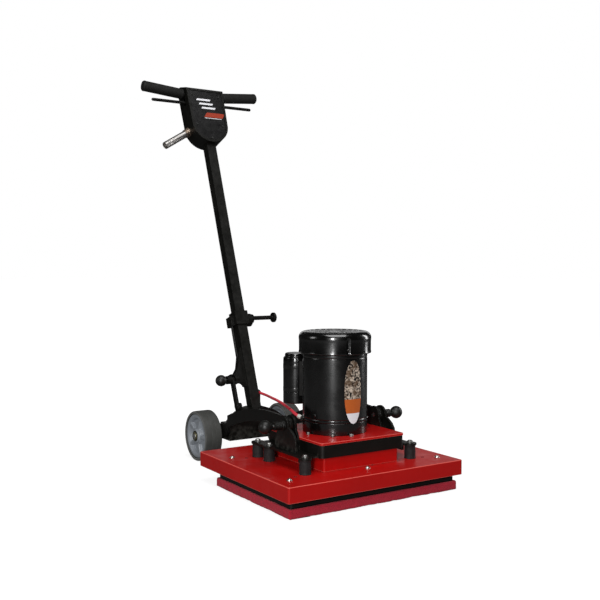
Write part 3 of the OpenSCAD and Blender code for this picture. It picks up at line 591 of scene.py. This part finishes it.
def rubber_mounts():
    """Bonded mounts under the frame's lugs: a flanged disc above and below a barrel of rubber, all in the
    mount rubber.
    """
    low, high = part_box("frame_isolators")
    bolt_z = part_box("isolator_bolts")[1].z - 0.0066
    r, waist, belly, bore = 0.0149, 0.0141, 0.0146, 0.006
    h, disc, neck = high.z - low.z, 0.0022, 0.0030
    outline = rounded([(0, 0), (r, 0), (r, disc), (waist, neck), (belly, h * 0.5), (waist, h - neck),
                       (r, h - disc), (r, h), (bore, h)], 0.0008)
    barrels, bolts = bmesh.new(), bmesh.new()
    for side in SIDES:
        for y in (-0.108, 0.060, 0.118):
            x = side * 0.161
            turned(barrels, outline, Matrix.Translation((x, y, low.z)), 40)
            hex_bolt(bolts, Matrix.Translation((x, y, bolt_z)), 0.012, 0.0050, 0.0088)
    finished("bonded_mounts", barrels, MOUNT, "deck", ["frame_isolators"])
    finished("mount_bolts", bolts, DULL_ZINC, "deck", ["isolator_bolts"])


def driver_posts():
    """Ribbed rubber posts between the deck and the driver plate."""
    low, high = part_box("driver_isolators")
    h = high.z - low.z
    r, groove, count = 0.0188, 0.0168, 5
    ribs = [(0, 0), (r, 0)]
    for i in range(count):
        z = h * (i + 0.5) / count
        ribs += [(r, z - h * 0.055), (groove, z - h * 0.02), (groove, z + h * 0.02), (r, z + h * 0.055)]
    outline = rounded(ribs + [(r, h), (0, h)], 0.0008, 2)
    bm = bmesh.new()
    for x in (-0.225, 0, 0.225):
        for y in (-0.140, 0.140):
            turned(bm, outline, Matrix.Translation((x, y, low.z)), 36)
    finished("ribbed_posts", bm, POST, "deck", ["driver_isolators"])


# ---- Motor ----

def motor_shell():
    """Rolled steel shell with a welded seam, a bead at each end and drain plugs."""
    low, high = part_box("motor_body")
    r, z0, z1 = high.x, low.z, high.z
    seam = FACING + math.radians(150)
    weld_height, weld_half_width, plug_z = 0.0006, 0.004, z0 + 0.018

    def rule(radius, z, a):
        off = (a - seam + math.pi) % TURN - math.pi
        weld = weld_height * max(0.0, 1 - abs(off) * r / weld_half_width)
        return radius + (weld if radius > r - 0.001 and z0 + 0.012 < z < z1 - 0.012 else 0)

    bead, wall = r - 0.0008, r - 0.0001
    outline = rounded([(r - 0.006, z0 + 0.0004), (r - 0.0006, z0 + 0.0004), (r, z0 + 0.0016), (r, z0 + 0.006),
                       (bead, z0 + 0.0072), (bead, z0 + 0.0084), (wall, z0 + 0.0096), (wall, z1 - 0.012),
                       (r - 0.0009, z1 - 0.0108), (r - 0.0009, z1 - 0.0095), (r, z1 - 0.008),
                       (r, z1 - 0.0004), (0.030, z1 - 0.0004)], 0.0005, 2)
    bm = bmesh.new()
    turned(bm, outline, steps=144, radius=rule)
    for a in (seam + 1, seam + 3):
        plug = rounded([(0, 0.0008), (0.003, 0.0008), (0.0042, -0.0003)], 0.0004, 2)
        turned(bm, plug, facing(polar(1, a), polar(r, a, plug_z)), 20)
    finished("motor_shell", bm, MOTOR, "deck", ["motor_body"])


# The fan cover's top: the steps round it, its rings' radii, and how many steps each ring of slots is turned.
COVER_STEPS = 240
COVER_EDGE = 0.016
COVER_RADII = (0.0725, 0.0700, 0.0570, 0.0545, 0.0415, 0.0390, 0.0265, 0.0240, 0.0140, 0.0)
SLOT_SHIFTS = {1: 0, 3: 5, 5: 0, 7: 5}
SLOT_PITCH = 10
SLOT_STEPS = 6


def vented_top(bm, outer_r, top, dip, depth):
    """The cover's flat top: rings a little below its crown, with rings of sunk vent slots."""
    radii = (outer_r, *COVER_RADII)
    grid = []
    for i, r in enumerate(radii):
        z = top - (dip if 0 < i < len(radii) - 1 else 0.0)
        angles = [TURN * k / COVER_STEPS for k in range(COVER_STEPS)] if r else [0]
        grid.append([bm.verts.new(polar(r, a, z)) for a in angles])
    for i, (outer, inner) in enumerate(zip(grid, grid[1:])):
        for k in range(COVER_STEPS):
            if i in SLOT_SHIFTS and 0 < (k + SLOT_SHIFTS[i]) % SLOT_PITCH <= SLOT_STEPS:
                continue
            panel(bm, outer, inner, k)
    for i, shift in SLOT_SHIFTS.items():
        for k in range(0, COVER_STEPS, SLOT_PITCH):
            steps = [(k + 1 - shift + j) % COVER_STEPS for j in range(SLOT_STEPS + 1)]
            loop = [grid[i][n] for n in steps] + [grid[i + 1][n] for n in steps[::-1]]
            sunk = [bm.verts.new((v.co.x, v.co.y, top - depth)) for v in loop]
            bridge(bm, loop, sunk)
            # The slot floors take the near-black painted shade.
            bm.faces.new(sunk).material_index = 1


def fan_cover():
    """Pressed cover: a rolled lower lip, four screw pockets, and rings of vent slots in its top."""
    low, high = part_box("fan_cover")
    r, z0, z1 = high.x, low.z, high.z
    edge, pockets = COVER_EDGE, 4
    pocket = FACING + math.radians(21.5)
    pocket_depth, pocket_half_width, pocket_slope = 0.0030, 0.0034, 0.0012

    def rule(radius, z, a):
        off = (a - pocket + TURN / 8) % (TURN / pockets) - TURN / 8
        inside = 1 - min(1.0, max(0.0, (abs(off) * r - pocket_half_width) / pocket_slope))
        tall = min(1.0, max(0.0, (z1 - 0.012 - z) / 0.004))
        return radius if radius < r - 0.004 else radius - pocket_depth * inside * tall

    arc = [(r - edge + edge * math.sin(t), z1 - edge + edge * math.cos(t))
           for t in [math.pi / 2 * i / 8 for i in range(8, -1, -1)]]
    wall = [(r - 0.003, z0 + 0.0005), (r - 0.0006, z0 + 0.0002), (r, z0 + 0.0014), (r, z0 + 0.0040),
            (r - 0.0007, z0 + 0.0052), (r - 0.0007, z1 - 0.026), (r - 0.0002, z1 - 0.020)]
    bm = bmesh.new()
    turned(bm, wall + arc, steps=COVER_STEPS, radius=rule)
    vented_top(bm, r - edge, z1, dip=0.0010, depth=0.0045)
    bmesh.ops.remove_doubles(bm, verts=bm.verts, dist=0.00002)
    for k in range(pockets):
        away = polar(1, pocket + k * TURN / pockets)
        place = facing(away, away * (r - 0.0031) + Vector((0, 0, z0 + 0.012)))
        turned(bm, [(0, 0.0016), (0.0016, 0.0019), (0.0028, 0.0012), (0.0031, 0)], place, 20, slot=2)
    finished("vented_cover", bm, [GLOSSY, HOLE_SHADE, CAST], "deck", ["fan_cover"])


def capacitor():
    """A dipped capacitor can with a rolled top, held by two straps."""
    low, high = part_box("capacitor_can")
    at = Matrix.Translation(((low.x + high.x) / 2, (low.y + high.y) / 2, low.z))
    r, h = (high.x - low.x) / 2, high.z - low.z
    skin, seam, neck, lid = r - 0.0004, r - 0.0014, r - 0.005, h - 0.0012
    outline = rounded([(0, 0.001), (r - 0.006, 0.001), (r - 0.004, 0), (skin, 0.002), (skin, 0.030),
                       (seam, 0.031), (seam, 0.033), (skin, 0.034), (skin, h - 0.020),
                       (r - 0.0010, h - 0.012), (neck, h - 0.009), (neck, h - 0.003), (r - 0.008, h),
                       (r - 0.012, lid), (0, lid)], 0.0012)
    bm = bmesh.new()
    turned(bm, outline, at, 72)
    strap_in, strap_out, strap_half = r - 0.001, r - 0.0001, 0.006
    for share in (0.28, 0.74):
        z0, z1 = h * share - strap_half, h * share + strap_half
        turned(bm, [(strap_in, z0), (strap_out, z0), (strap_out, z1), (strap_in, z1)], at, 72)
    finished("dipped_capacitor", bm, MOTOR, "deck", ["capacitor_can"])


def motor_fasteners():
    """Hexagon bolts round the motor's foot."""
    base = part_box("motor_bolts")[0].z
    circle = 0.091
    bm = bmesh.new()
    for angle in (8, 52, 82, 188, 232, 262):
        place = Matrix.Translation(polar(circle, math.radians(angle), base))
        hex_bolt(bm, place, 0.0088, 0.0042, 0.0058)
    finished("motor_base_bolts", bm, DULL_ZINC, "deck", ["motor_bolts"])


def oval_half(share):
    """Half the width of the oval label, as a share of its widest, from its foot (0) to its crown (1)."""
    return max(0.03, (1 - abs(2 * share - 1) ** 2.4) ** 0.5)


def motor_label():
    """A plain oval label in place of the maker's picture: mottled, with an orange band and a white foot."""
    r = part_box("motor_body")[1].x + 0.0003
    middle = FACING + math.radians(34)
    z0, z1, half_width = 0.181, 0.340, 0.025
    white_to, orange_to = 0.16, 0.38
    across, tall = 28, 90
    bm = bmesh.new()
    rows = []
    for j in range(tall + 1):
        share = j / tall
        half = half_width * oval_half(share)
        z = z0 + (z1 - z0) * share
        angles = [middle + (2 * i / across - 1) * half / r for i in range(across + 1)]
        rows.append([bm.verts.new(polar(r, a, z)) for a in angles])
    for j, (a, b) in enumerate(zip(rows, rows[1:])):
        slot = 2 if j < tall * white_to else 1 if j < tall * orange_to else 0
        for i in range(across):
            bm.faces.new((a[i], a[i + 1], b[i + 1], b[i])).material_index = slot
    finished("wrapped_label", bm, [SPECKLE, ORANGE, WHITE], "deck")


LEAD_ROUTE = [Vector(p) * MM for p in (
    (25, 442, 193.5), (25, 430, 193), (25, 415, 192), (24, 400, 191.5), (21, 384, 191.5),
    (16, 366, 192), (8, 345, 193.5), (-2, 320, 195.5), (-13, 292, 197.5), (-24, 260, 199.5),
    (-35, 225, 200.5), (-45, 190, 200.5), (-54, 157, 199.5), (-62, 128, 198), (-69, 103, 196),
    (-74, 84, 193.5), (-76.5, 69, 190.5), (-75.5, 57, 187), (-71, 47, 183.5))]


def motor_lead():
    """The red lead from the mast's foot to the motor."""
    route = smooth_route(LEAD_ROUTE)
    bm = bmesh.new()
    swept(bm, route, 0.0040, 18)
    lead = finished("red_lead", bm, JACKET, None, ["motor_lead"])
    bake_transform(lead)


def lead_fittings():
    """A white crimped sleeve where the lead enters the motor."""
    way = (LEAD_ROUTE[-1] - LEAD_ROUTE[-2]).normalized()
    place = facing(way, LEAD_ROUTE[-1] - way * 0.012)
    bore, crimp, r, length = 0.0042, 0.0054, 0.0060, 0.0112
    sleeve = rounded([(bore, 0), (0.0056, 0), (r, 0.002), (r, 0.008), (crimp, 0.0095), (crimp, length),
                      (bore, length)], 0.0006)
    bm = bmesh.new()
    turned(bm, sleeve, place, 32)
    finished("white_sleeve", bm, NYLON, "deck")


# ---- Knobs, pins and levers ----

def knob_profile(r, neck_r, neck):
    """A ball with a moulding line, a flat spot at its end, and a waisted neck."""
    points = [(0, r * 0.985), (r * 0.20, r * 0.975)]
    for i in range(3, 28):
        t = math.pi * i / 32
        bulge = 0.0002 if i == 16 else 0.0
        if r * math.sin(t) > neck_r or t < math.pi / 2:
            points.append((r * math.sin(t) + bulge, r * math.cos(t)))
    points += [(neck_r, points[-1][1] - 0.001), (neck_r, -neck + 0.001), (neck_r - 0.001, -neck), (0, -neck)]
    return points


def pin_knob(side, node):
    """The ball and neck on a quick-release pin's outer end."""
    low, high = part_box(node)
    middle_y, middle_z = (low.y + high.y) / 2, (low.z + high.z) / 2
    r = (high.z - low.z) / 2 - 0.0001
    end = high.x if side > 0 else -low.x
    neck = (high.x - low.x) - r
    ball = facing((side, 0, 0), (side * (end - r), middle_y, middle_z))
    bm = bmesh.new()
    turned(bm, knob_profile(r, 0.0093, neck), ball, 48)
    finished(node + "_ball", bm, KNOB, SIDES[side] + "_pin", [node])


def mast_plunger():
    """The mast's lock: a ball knob on a stepped steel stem."""
    low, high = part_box("mast_plunger")
    r = (high.z - low.z) / 2 - 0.0001
    middle = Vector((0, (low.y + high.y) / 2, (low.z + high.z) / 2))
    ball = middle + Vector((low.x + r, 0, 0))
    start, thin, shank, collar = low.x + r * 1.2, 0.0040, 0.0050, 0.0076
    stem = [(0, start), (thin, start), (thin, -0.0660), (collar, -0.0660), (collar, -0.0645),
            (shank, -0.0645), (shank, high.x - 0.001), (thin, high.x), (0, high.x)]
    bm = bmesh.new()
    turned(bm, knob_profile(r, 0.005, r + 0.0004), facing((-1, 0, 0), ball), 48)
    turned(bm, stem, facing((1, 0, 0), middle), 36, slot=1)
    finished("lock_plunger", bm, [KNOB, STEEL], "plunger", ["mast_plunger"])


def pull_spring(node, body, wire, turns):
    """A coil spring about an axis along X."""
    low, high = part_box(node)
    middle = (low + high) / 2
    radius = (high.z - low.z) / 2 - wire
    steps = turns * 20
    points = []
    for i in range(steps + 1):
        a = TURN * turns * i / steps
        x = low.x + wire + (high.x - low.x - 2 * wire) * i / steps
        points.append(Vector((x, middle.y + radius * math.cos(a), middle.z + radius * math.sin(a))))
    bm = bmesh.new()
    swept(bm, points, wire, 10)
    spring = finished(node + "_coil", bm, STEEL, body, [node])
    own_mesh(spring)


def trigger_lever(side, node):
    """A bent rod lever with a flattened hub and a rounded tip."""
    bar = ON_MAST @ Matrix.Translation((0, -0.003, 1.039))
    inner, tip, r = 0.034, 0.180, 0.0050
    route = [Vector((side * (inner + (tip - inner - 0.0008) * i / 40), 0, 0)) for i in range(41)]
    extra = [Vector((side * (tip - r + r * math.sin(math.pi / 2 * i / 6)), 0, 0)) for i in range(1, 7)]
    route = [p for p in route if abs(p.x) < tip - r] + extra
    bore, hub_r, half = 0.0030, 0.0078, 0.005
    hub = rounded([(bore, -half), (hub_r, -half), (hub_r, half), (bore, half), (bore, -half)], 0.0006)
    bm = bmesh.new()
    swept(bm, [bar @ p for p in route], lambda t: rod_radius(t, route, tip, r), 20)
    turned(bm, hub, bar @ facing((0, -1, 0), (side * inner, 0, 0)), 32)
    finished(node + "_rod", bm, BLACK, SIDES[side] + "_trigger", [node])


def rod_radius(t, route, tip, r):
    """The radius at a share of the way along a rod whose far end is a half ball."""
    at = abs(route[round(t * (len(route) - 1))].x)
    into = max(0.0, at - (tip - r))
    return max(r * 0.08, math.sqrt(max(0.0, r * r - into * into)) * 0.985)


# ---- Wheels ----

def tyre(side, node):
    """A grey solid tyre with a slightly crowned tread, two shallow grooves and square shoulders."""
    low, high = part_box(node)
    r, half = (high.z - low.z) / 2, (high.x - low.x) / 2
    middle = (low + high) / 2
    inner, groove, flank_depth = 0.0641, r - 0.0008, 0.0012
    near = [(inner, -half + 0.0022), (inner + 0.002, -half + 0.0003), (r - 0.0040, -half + 0.0003),
            (r - 0.0016, -half + 0.0012), (r - 0.0003, -half + 0.0040), (r, -half + 0.0120),
            (r, -0.0082), (groove, -0.0074), (groove, -0.0066), (r, -0.0058)]
    outline = near + [(a, -z) for a, z in reversed(near)] + near[:1]
    bm = bmesh.new()
    turned(bm, rounded(outline, 0.0014), facing((side, 0, 0), middle), 120)
    for face in bm.faces:
        flank = abs(face.calc_center_median().x - middle.x) > half - flank_depth
        face.material_index = 1 if flank else 0
    finished(node + "_tread", bm, [TREAD, TYRE], SIDES[side] + "_wheel", [node])


# A wheel core's ribs, and the radii of its hub, of its pockets' outer ends and of the hollow round its nut.
WHEEL_RIBS = 5
WHEEL_HUB_R = 0.0196
WHEEL_POCKET_R = 0.0530
WHEEL_NUT_R = 0.0156


def eased(x):
    x = min(1.0, max(0.0, x))
    return x * x * (3 - 2 * x)


def wheel_face(r, a, half, outer):
    """How far a core's face stands from its middle plane: a raised rim and hub, and pockets between ribs."""
    lobe = (a / TURN * WHEEL_RIBS) % 1 - 0.5
    from_rib = (0.5 - abs(lobe)) * TURN / WHEEL_RIBS * r
    pocket = (eased((from_rib - 0.0042) / 0.004) * eased((r - WHEEL_HUB_R - 0.004) / 0.005)
              * eased((WHEEL_POCKET_R - r) / 0.005))
    face = half - 0.0032 - 0.0020 * eased((0.0560 - r) / 0.002)
    boss = eased((WHEEL_HUB_R + 0.0025 - r) / 0.003)
    chamfer = 0.0012 * eased((r - 0.0620) / 0.002)
    recess = 0.0082 * eased((WHEEL_NUT_R - r) / 0.0006) if outer else 0.0
    return face * (1 - boss) + (half - 0.0002) * boss - 0.0095 * pocket - chamfer - recess


def wheel_core(side, node):
    """A moulded core: a raised rim, ribs with rounded pockets between them, and a hub sunk round its nut, its
    hollow coloured dark as painted shade.
    """
    low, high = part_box(node)
    half = (high.x - low.x) / 2
    place = facing((side, 0, 0), (low + high) / 2)
    rim, bore, shade_to, steps = 0.0639, 0.0081, 0.0160, 200
    even = [bore + (rim - bore) * i / 56 for i in range(57)]
    radii = sorted(even + [0.0149, 0.0152, 0.0155, 0.0158])
    angles = [TURN * k / steps for k in range(steps)]
    bm = bmesh.new()
    sheets = []
    for sign in (1, -1):
        outer = sign > 0
        sheet = []
        for r in radii:
            places = [place @ polar(r, a, sign * wheel_face(r, a, half, outer)) for a in angles]
            sheet.append([bm.verts.new(p) for p in places])
        sheets.append(sheet)
        for i, (a, b) in enumerate(zip(sheet, sheet[1:])):
            # Faces inside the nut's hollow on the outer face take the painted shade.
            bridge(bm, a, b, 1 if outer and radii[i + 1] < shade_to else 0)
    for ring in (0, -1):
        bridge(bm, sheets[0][ring], sheets[1][ring])
    finished(node + "_moulding", bm, [CORE, NUT_RECESS_SHADE], SIDES[side] + "_wheel", [node])


def axle_nuts():
    """A hexagon nut on a washer at each end of the axle."""
    low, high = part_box("axle_nuts")
    middle = (low + high) / 2
    bore, flat, thick, across = 0.0082, 0.0105, 0.0019, 0.022
    corner = across / 2 / math.cos(TURN / 12)
    nut = [(bore, thick), (flat, thick), (corner, 0.0028), (corner, 0.0094), (flat, 0.0107), (0.0092, 0.0107),
           (bore, 0.0098)]
    bm = bmesh.new()
    for side in SIDES:
        at = facing((side, 0, 0), (side * (high.x - 0.011), middle.y, middle.z))
        washer(bm, at, 0.0138, bore, thick)
        turned(bm, nut, at, 48, hexagonal(across))
    finished("zinc_axle_nuts", bm, YELLOW_ZINC, "carriage", ["axle_nuts"])


# ---- Handle ----

def hand_grips():
    """Slip-on rubber grips: fine lengthwise ribs, a collar at each end and a domed closed tip."""
    start, end, r = 0.0695, 0.2065, 0.0170
    ribs, rib_depth, droop = 40, 0.0004, math.radians(6)
    smooth, ribbed, ring, tip = r - 0.0002, r - 0.0004, r - 0.0012, r - 0.0001

    def rule(radius, z, a):
        has_ribs = start + 0.010 < z < end - 0.014 and radius > 0.0163
        return radius - (rib_depth * (0.5 + 0.5 * math.cos(ribs * a)) if has_ribs else 0)

    outline = rounded([(0.0112, start), (smooth, start), (smooth, start + 0.007), (ring, start + 0.008),
                       (ribbed, start + 0.0095), (ribbed, start + 0.05), (ribbed, end - 0.045),
                       (ribbed, end - 0.013), (ring, end - 0.0115), (tip, end - 0.010), (tip, end - 0.0042),
                       (r - 0.0030, end - 0.0006), (0.0085, end - 0.0004), (0.0080, end - 0.0014),
                       (0.0060, end - 0.0014), (0.0055, end - 0.0004), (0, end - 0.0004)], 0.0010)
    bar = ON_MAST @ Matrix.Translation((0, -0.003, 1.063))
    bm = bmesh.new()
    for side in SIDES:
        turned(bm, outline, bar @ Matrix.Rotation(side * (math.pi / 2 - droop), 4, "Y"), 160, rule)
    finished("ribbed_grips", bm, GRIP, "mast", ["hand_grips"])


def power_inlet():
    """A metal inlet: hexagon collar nut, finely grooved barrel, and an open mouth with three pins."""
    root = ON_MAST @ Matrix.Translation((-0.058, 0.008, 0.942))
    place = root @ Matrix.Rotation(-math.pi / 2 - math.radians(31.7), 4, "Y")
    across, hexagon_to, pins = 0.0285, 0.0122, 3
    collar = rounded([(0.0100, 0.0035), (0.0148, 0.0035), (0.0148, 0.0120), (0.0134, 0.0126),
                      (0.0134, 0.0215), (0.0118, 0.0220)], 0.0008)
    r, groove, lip, mouth = 0.0114, 0.0109, 0.01145, 0.0086
    barrel = [(0.0112, 0.0215)]
    for i in range(22):
        z = 0.026 + i * 0.0030
        barrel += [(r, z), (r, z + 0.0018), (groove, z + 0.0022), (groove, z + 0.0027)]
    barrel += [(r, 0.096), (groove, 0.0965), (groove, 0.0985), (lip, 0.099), (lip, 0.1112), (0.0108, 0.1119),
               (0.0090, 0.1119), (mouth, 0.1112), (mouth, 0.1000), (0, 0.1000)]
    bm = bmesh.new()
    turned(bm, collar, place, 48, lambda r, z, a: hexagonal(across)(r, z, a) if z < hexagon_to else r, 1)
    turned(bm, barrel, place, 64)
    for k in range(pins):
        pin = place @ Matrix.Translation(polar(0.0046, TURN * k / pins + 0.4, 0.0998))
        turned(bm, [(0.0012, 0), (0.0012, 0.0080), (0.0008, 0.0088), (0, 0.0088)], pin, 12, slot=1)
    turned(bm, [(0.0098, -0.010), (0.0098, 0.006)], place, 32, slot=1)
    finished("turned_inlet", bm, [INLET, COLLAR], "mast", ["power_inlet"])


def slanted_bar(bm, place, x, z, width, height, slant, slot):
    """A flat printed bar, leaning by slant, on the cover's face."""
    thick = 0.0003
    corners = [(-width / 2, -height / 2), (width / 2, -height / 2), (width / 2 + slant, height / 2),
               (-width / 2 + slant, height / 2)]
    front = [bm.verts.new(place @ Vector((x + cx, 0, z + cz))) for cx, cz in corners]
    back = [bm.verts.new(place @ Vector((x + cx, thick, z + cz))) for cx, cz in corners]
    bm.faces.new(front).material_index = slot
    for i in range(4):
        j = (i + 1) % 4
        bm.faces.new((front[i], back[i], back[j], front[j])).material_index = slot


def housing_label():
    """Plain bars on the housing's cover in place of the maker's lettering, and the cover's screws."""
    place = ON_MAST @ Matrix.Translation((0, -0.0306, 0.891))
    white, rust = 0, 1
    bm = bmesh.new()
    for i in range(3):
        slanted_bar(bm, place, -0.012 + 0.007 * i, 0.150 - 0.0145 * i, 0.048, 0.0065, 0.004, white)
    slanted_bar(bm, place, 0.016, 0.096, 0.066, 0.017, 0.012, rust)
    slanted_bar(bm, place, 0.014, 0.0845, 0.060, 0.0018, 0.001, white)
    finished("printed_bars", bm, [WHITE, RUST], "mast", smooth=False)
    screws = bmesh.new()
    for x, z in ((-0.048, 0.165), (0.048, 0.165), (-0.046, 0.060), (0.046, 0.060), (0, 0.014)):
        dome_screw(screws, place @ facing((0, -1, 0), (x, -0.0004, z)), 0.0030, 0.0018)
    finished("cover_screws", screws, KNOB, "mast")


# ---- Stage, light and camera ----

# Each softbox: its angle in degrees from the camera's direction, distance, height, width, tallness, power.
SOFTBOXES = {
    "key": (-7, 3.4, 1.10, 0.32, 1.7, 86),
    "overhead": (10, 0.9, 2.9, 2.0, 2.0, 52),
    "right_rim": (118, 2.6, 1.0, 0.5, 1.8, 18),
    "left_side": (-75, 3.4, 1.5, 1.0, 1.4, 13),
    "back_wall": (180, 4.5, 1.2, 4.0, 1.0, 6.5),
}
LIT_POINT = (0, 0.1, 0.35)


def look(obj, direction):
    obj.rotation_euler = direction.to_track_quat("-Z", "Y").to_euler()


def camera():
    """The photograph's viewing angle: a 51 mm lens, half way up the machine, from the front left."""
    data = bpy.data.cameras.new("camera")
    data.lens = 51.27
    data.sensor_width = 36
    made = bpy.data.objects.new("camera", data)
    scene.collection.objects.link(made)
    made.location = CAMERA_AT
    across = math.cos(CAMERA_PITCH)
    forward = (math.sin(CAMERA_YAW) * across, math.cos(CAMERA_YAW) * across, -math.sin(CAMERA_PITCH))
    look(made, Vector(forward))
    scene.camera = made


def softbox(name, angle, distance, height, width, tall, power):
    """An area light, hidden from the camera, at an angle from the camera's direction."""
    data = bpy.data.lights.new(name, "AREA")
    data.shape = "RECTANGLE"
    data.size, data.size_y, data.energy = width, tall, power
    made = bpy.data.objects.new(name, data)
    scene.collection.objects.link(made)
    made.location = polar(distance, FACING + math.radians(angle), height)
    made.visible_camera = False
    look(made, Vector(LIT_POINT) - made.location)


def seen_by_camera(tree, others, camera_only, output):
    """One shader for the camera, another for other rays, so a white ground doesn't grey the paint."""
    ray = tree.nodes.new("ShaderNodeLightPath")
    mix = tree.nodes.new("ShaderNodeMixShader")
    tree.links.new(ray.outputs["Is Camera Ray"], mix.inputs[0])
    tree.links.new(others.outputs[0], mix.inputs[1])
    tree.links.new(camera_only.outputs[0], mix.inputs[2])
    tree.links.new(mix.outputs[0], output.inputs["Surface"])


def studio():
    """The softboxes, and a world that is white to the camera and dim to the object."""
    for name, settings in SOFTBOXES.items():
        softbox(name, *settings)
    world = bpy.data.worlds.new("studio")
    scene.world = world
    world.use_nodes = True
    tree = world.node_tree
    dim = tree.nodes["Background"]
    dim.inputs["Color"].default_value = (0.30, 0.30, 0.31, 1)
    dim.inputs["Strength"].default_value = 0.05
    white = tree.nodes.new("ShaderNodeBackground")
    white.inputs["Color"].default_value = (1, 1, 1, 1)
    seen_by_camera(tree, dim, white, tree.nodes["World Output"])


def pale_floor():
    """A plain floor that brightens away from the machine, to meet the white world."""
    made = Finish("pale_floor", (0.30, 0.30, 0.30), 0.9, Specular_IOR_Level=0.1)
    made.colour(made.blend(made.noise(1.5, 3), (0.28, 0.28, 0.28), (0.32, 0.32, 0.32)))
    made.shader.inputs["Emission Color"].default_value = (1, 1, 1, 1)
    away = made.add("VectorMath", Vector=made.place)
    away.operation = "LENGTH"
    near, far, near_glow, far_glow = 0.7, 1.6, 0.86, 1.0
    glow = made.spread(away.outputs["Value"], near, far, near_glow, far_glow)
    made.feed(made.shader.inputs["Emission Strength"], glow)
    dark = made.add("BsdfDiffuse", Color=(0.16, 0.16, 0.16, 1))
    seen_by_camera(made.tree, dark, made.shader, made.tree.nodes["Material Output"])
    bm = bmesh.new()
    turned(bm, [(0, 0), (2, 0), (40, 0)], steps=64)
    mesh = bpy.data.meshes.new("studio_floor")
    bm.to_mesh(mesh)
    bm.free()
    mesh.materials.append(made.material)
    floor = bpy.data.objects.new("studio_floor", mesh)
    scene.collection.objects.link(floor)


# ---- Everything ----

camera()
studio()
pale_floor()
dress_cad_nodes()
floor_pad()
screws_and_holes()
rubber_mounts()
driver_posts()
motor_shell()
fan_cover()
capacitor()
motor_fasteners()
motor_label()
motor_lead()
lead_fittings()
for side, name in SIDES.items():
    pin_knob(side, name + "_pin_knob")
    trigger_lever(side, name + "_lever")
    tyre(side, name + "_tyre")
    wheel_core(side, name + "_wheel_core")
mast_plunger()
for name, body, travel, wire, turns, outward in (
        ("left_pin", "deck", 0.018, 0.0007, 5, -1), ("right_pin", "deck", 0.018, 0.0007, 5, 1),
        ("mast_plunger", "mast", 0.008, 0.0006, 3, -1)):
    pull_spring(name + "_spring", body, wire, turns)
axle_nuts()
hand_grips()
power_inlet()
housing_label()
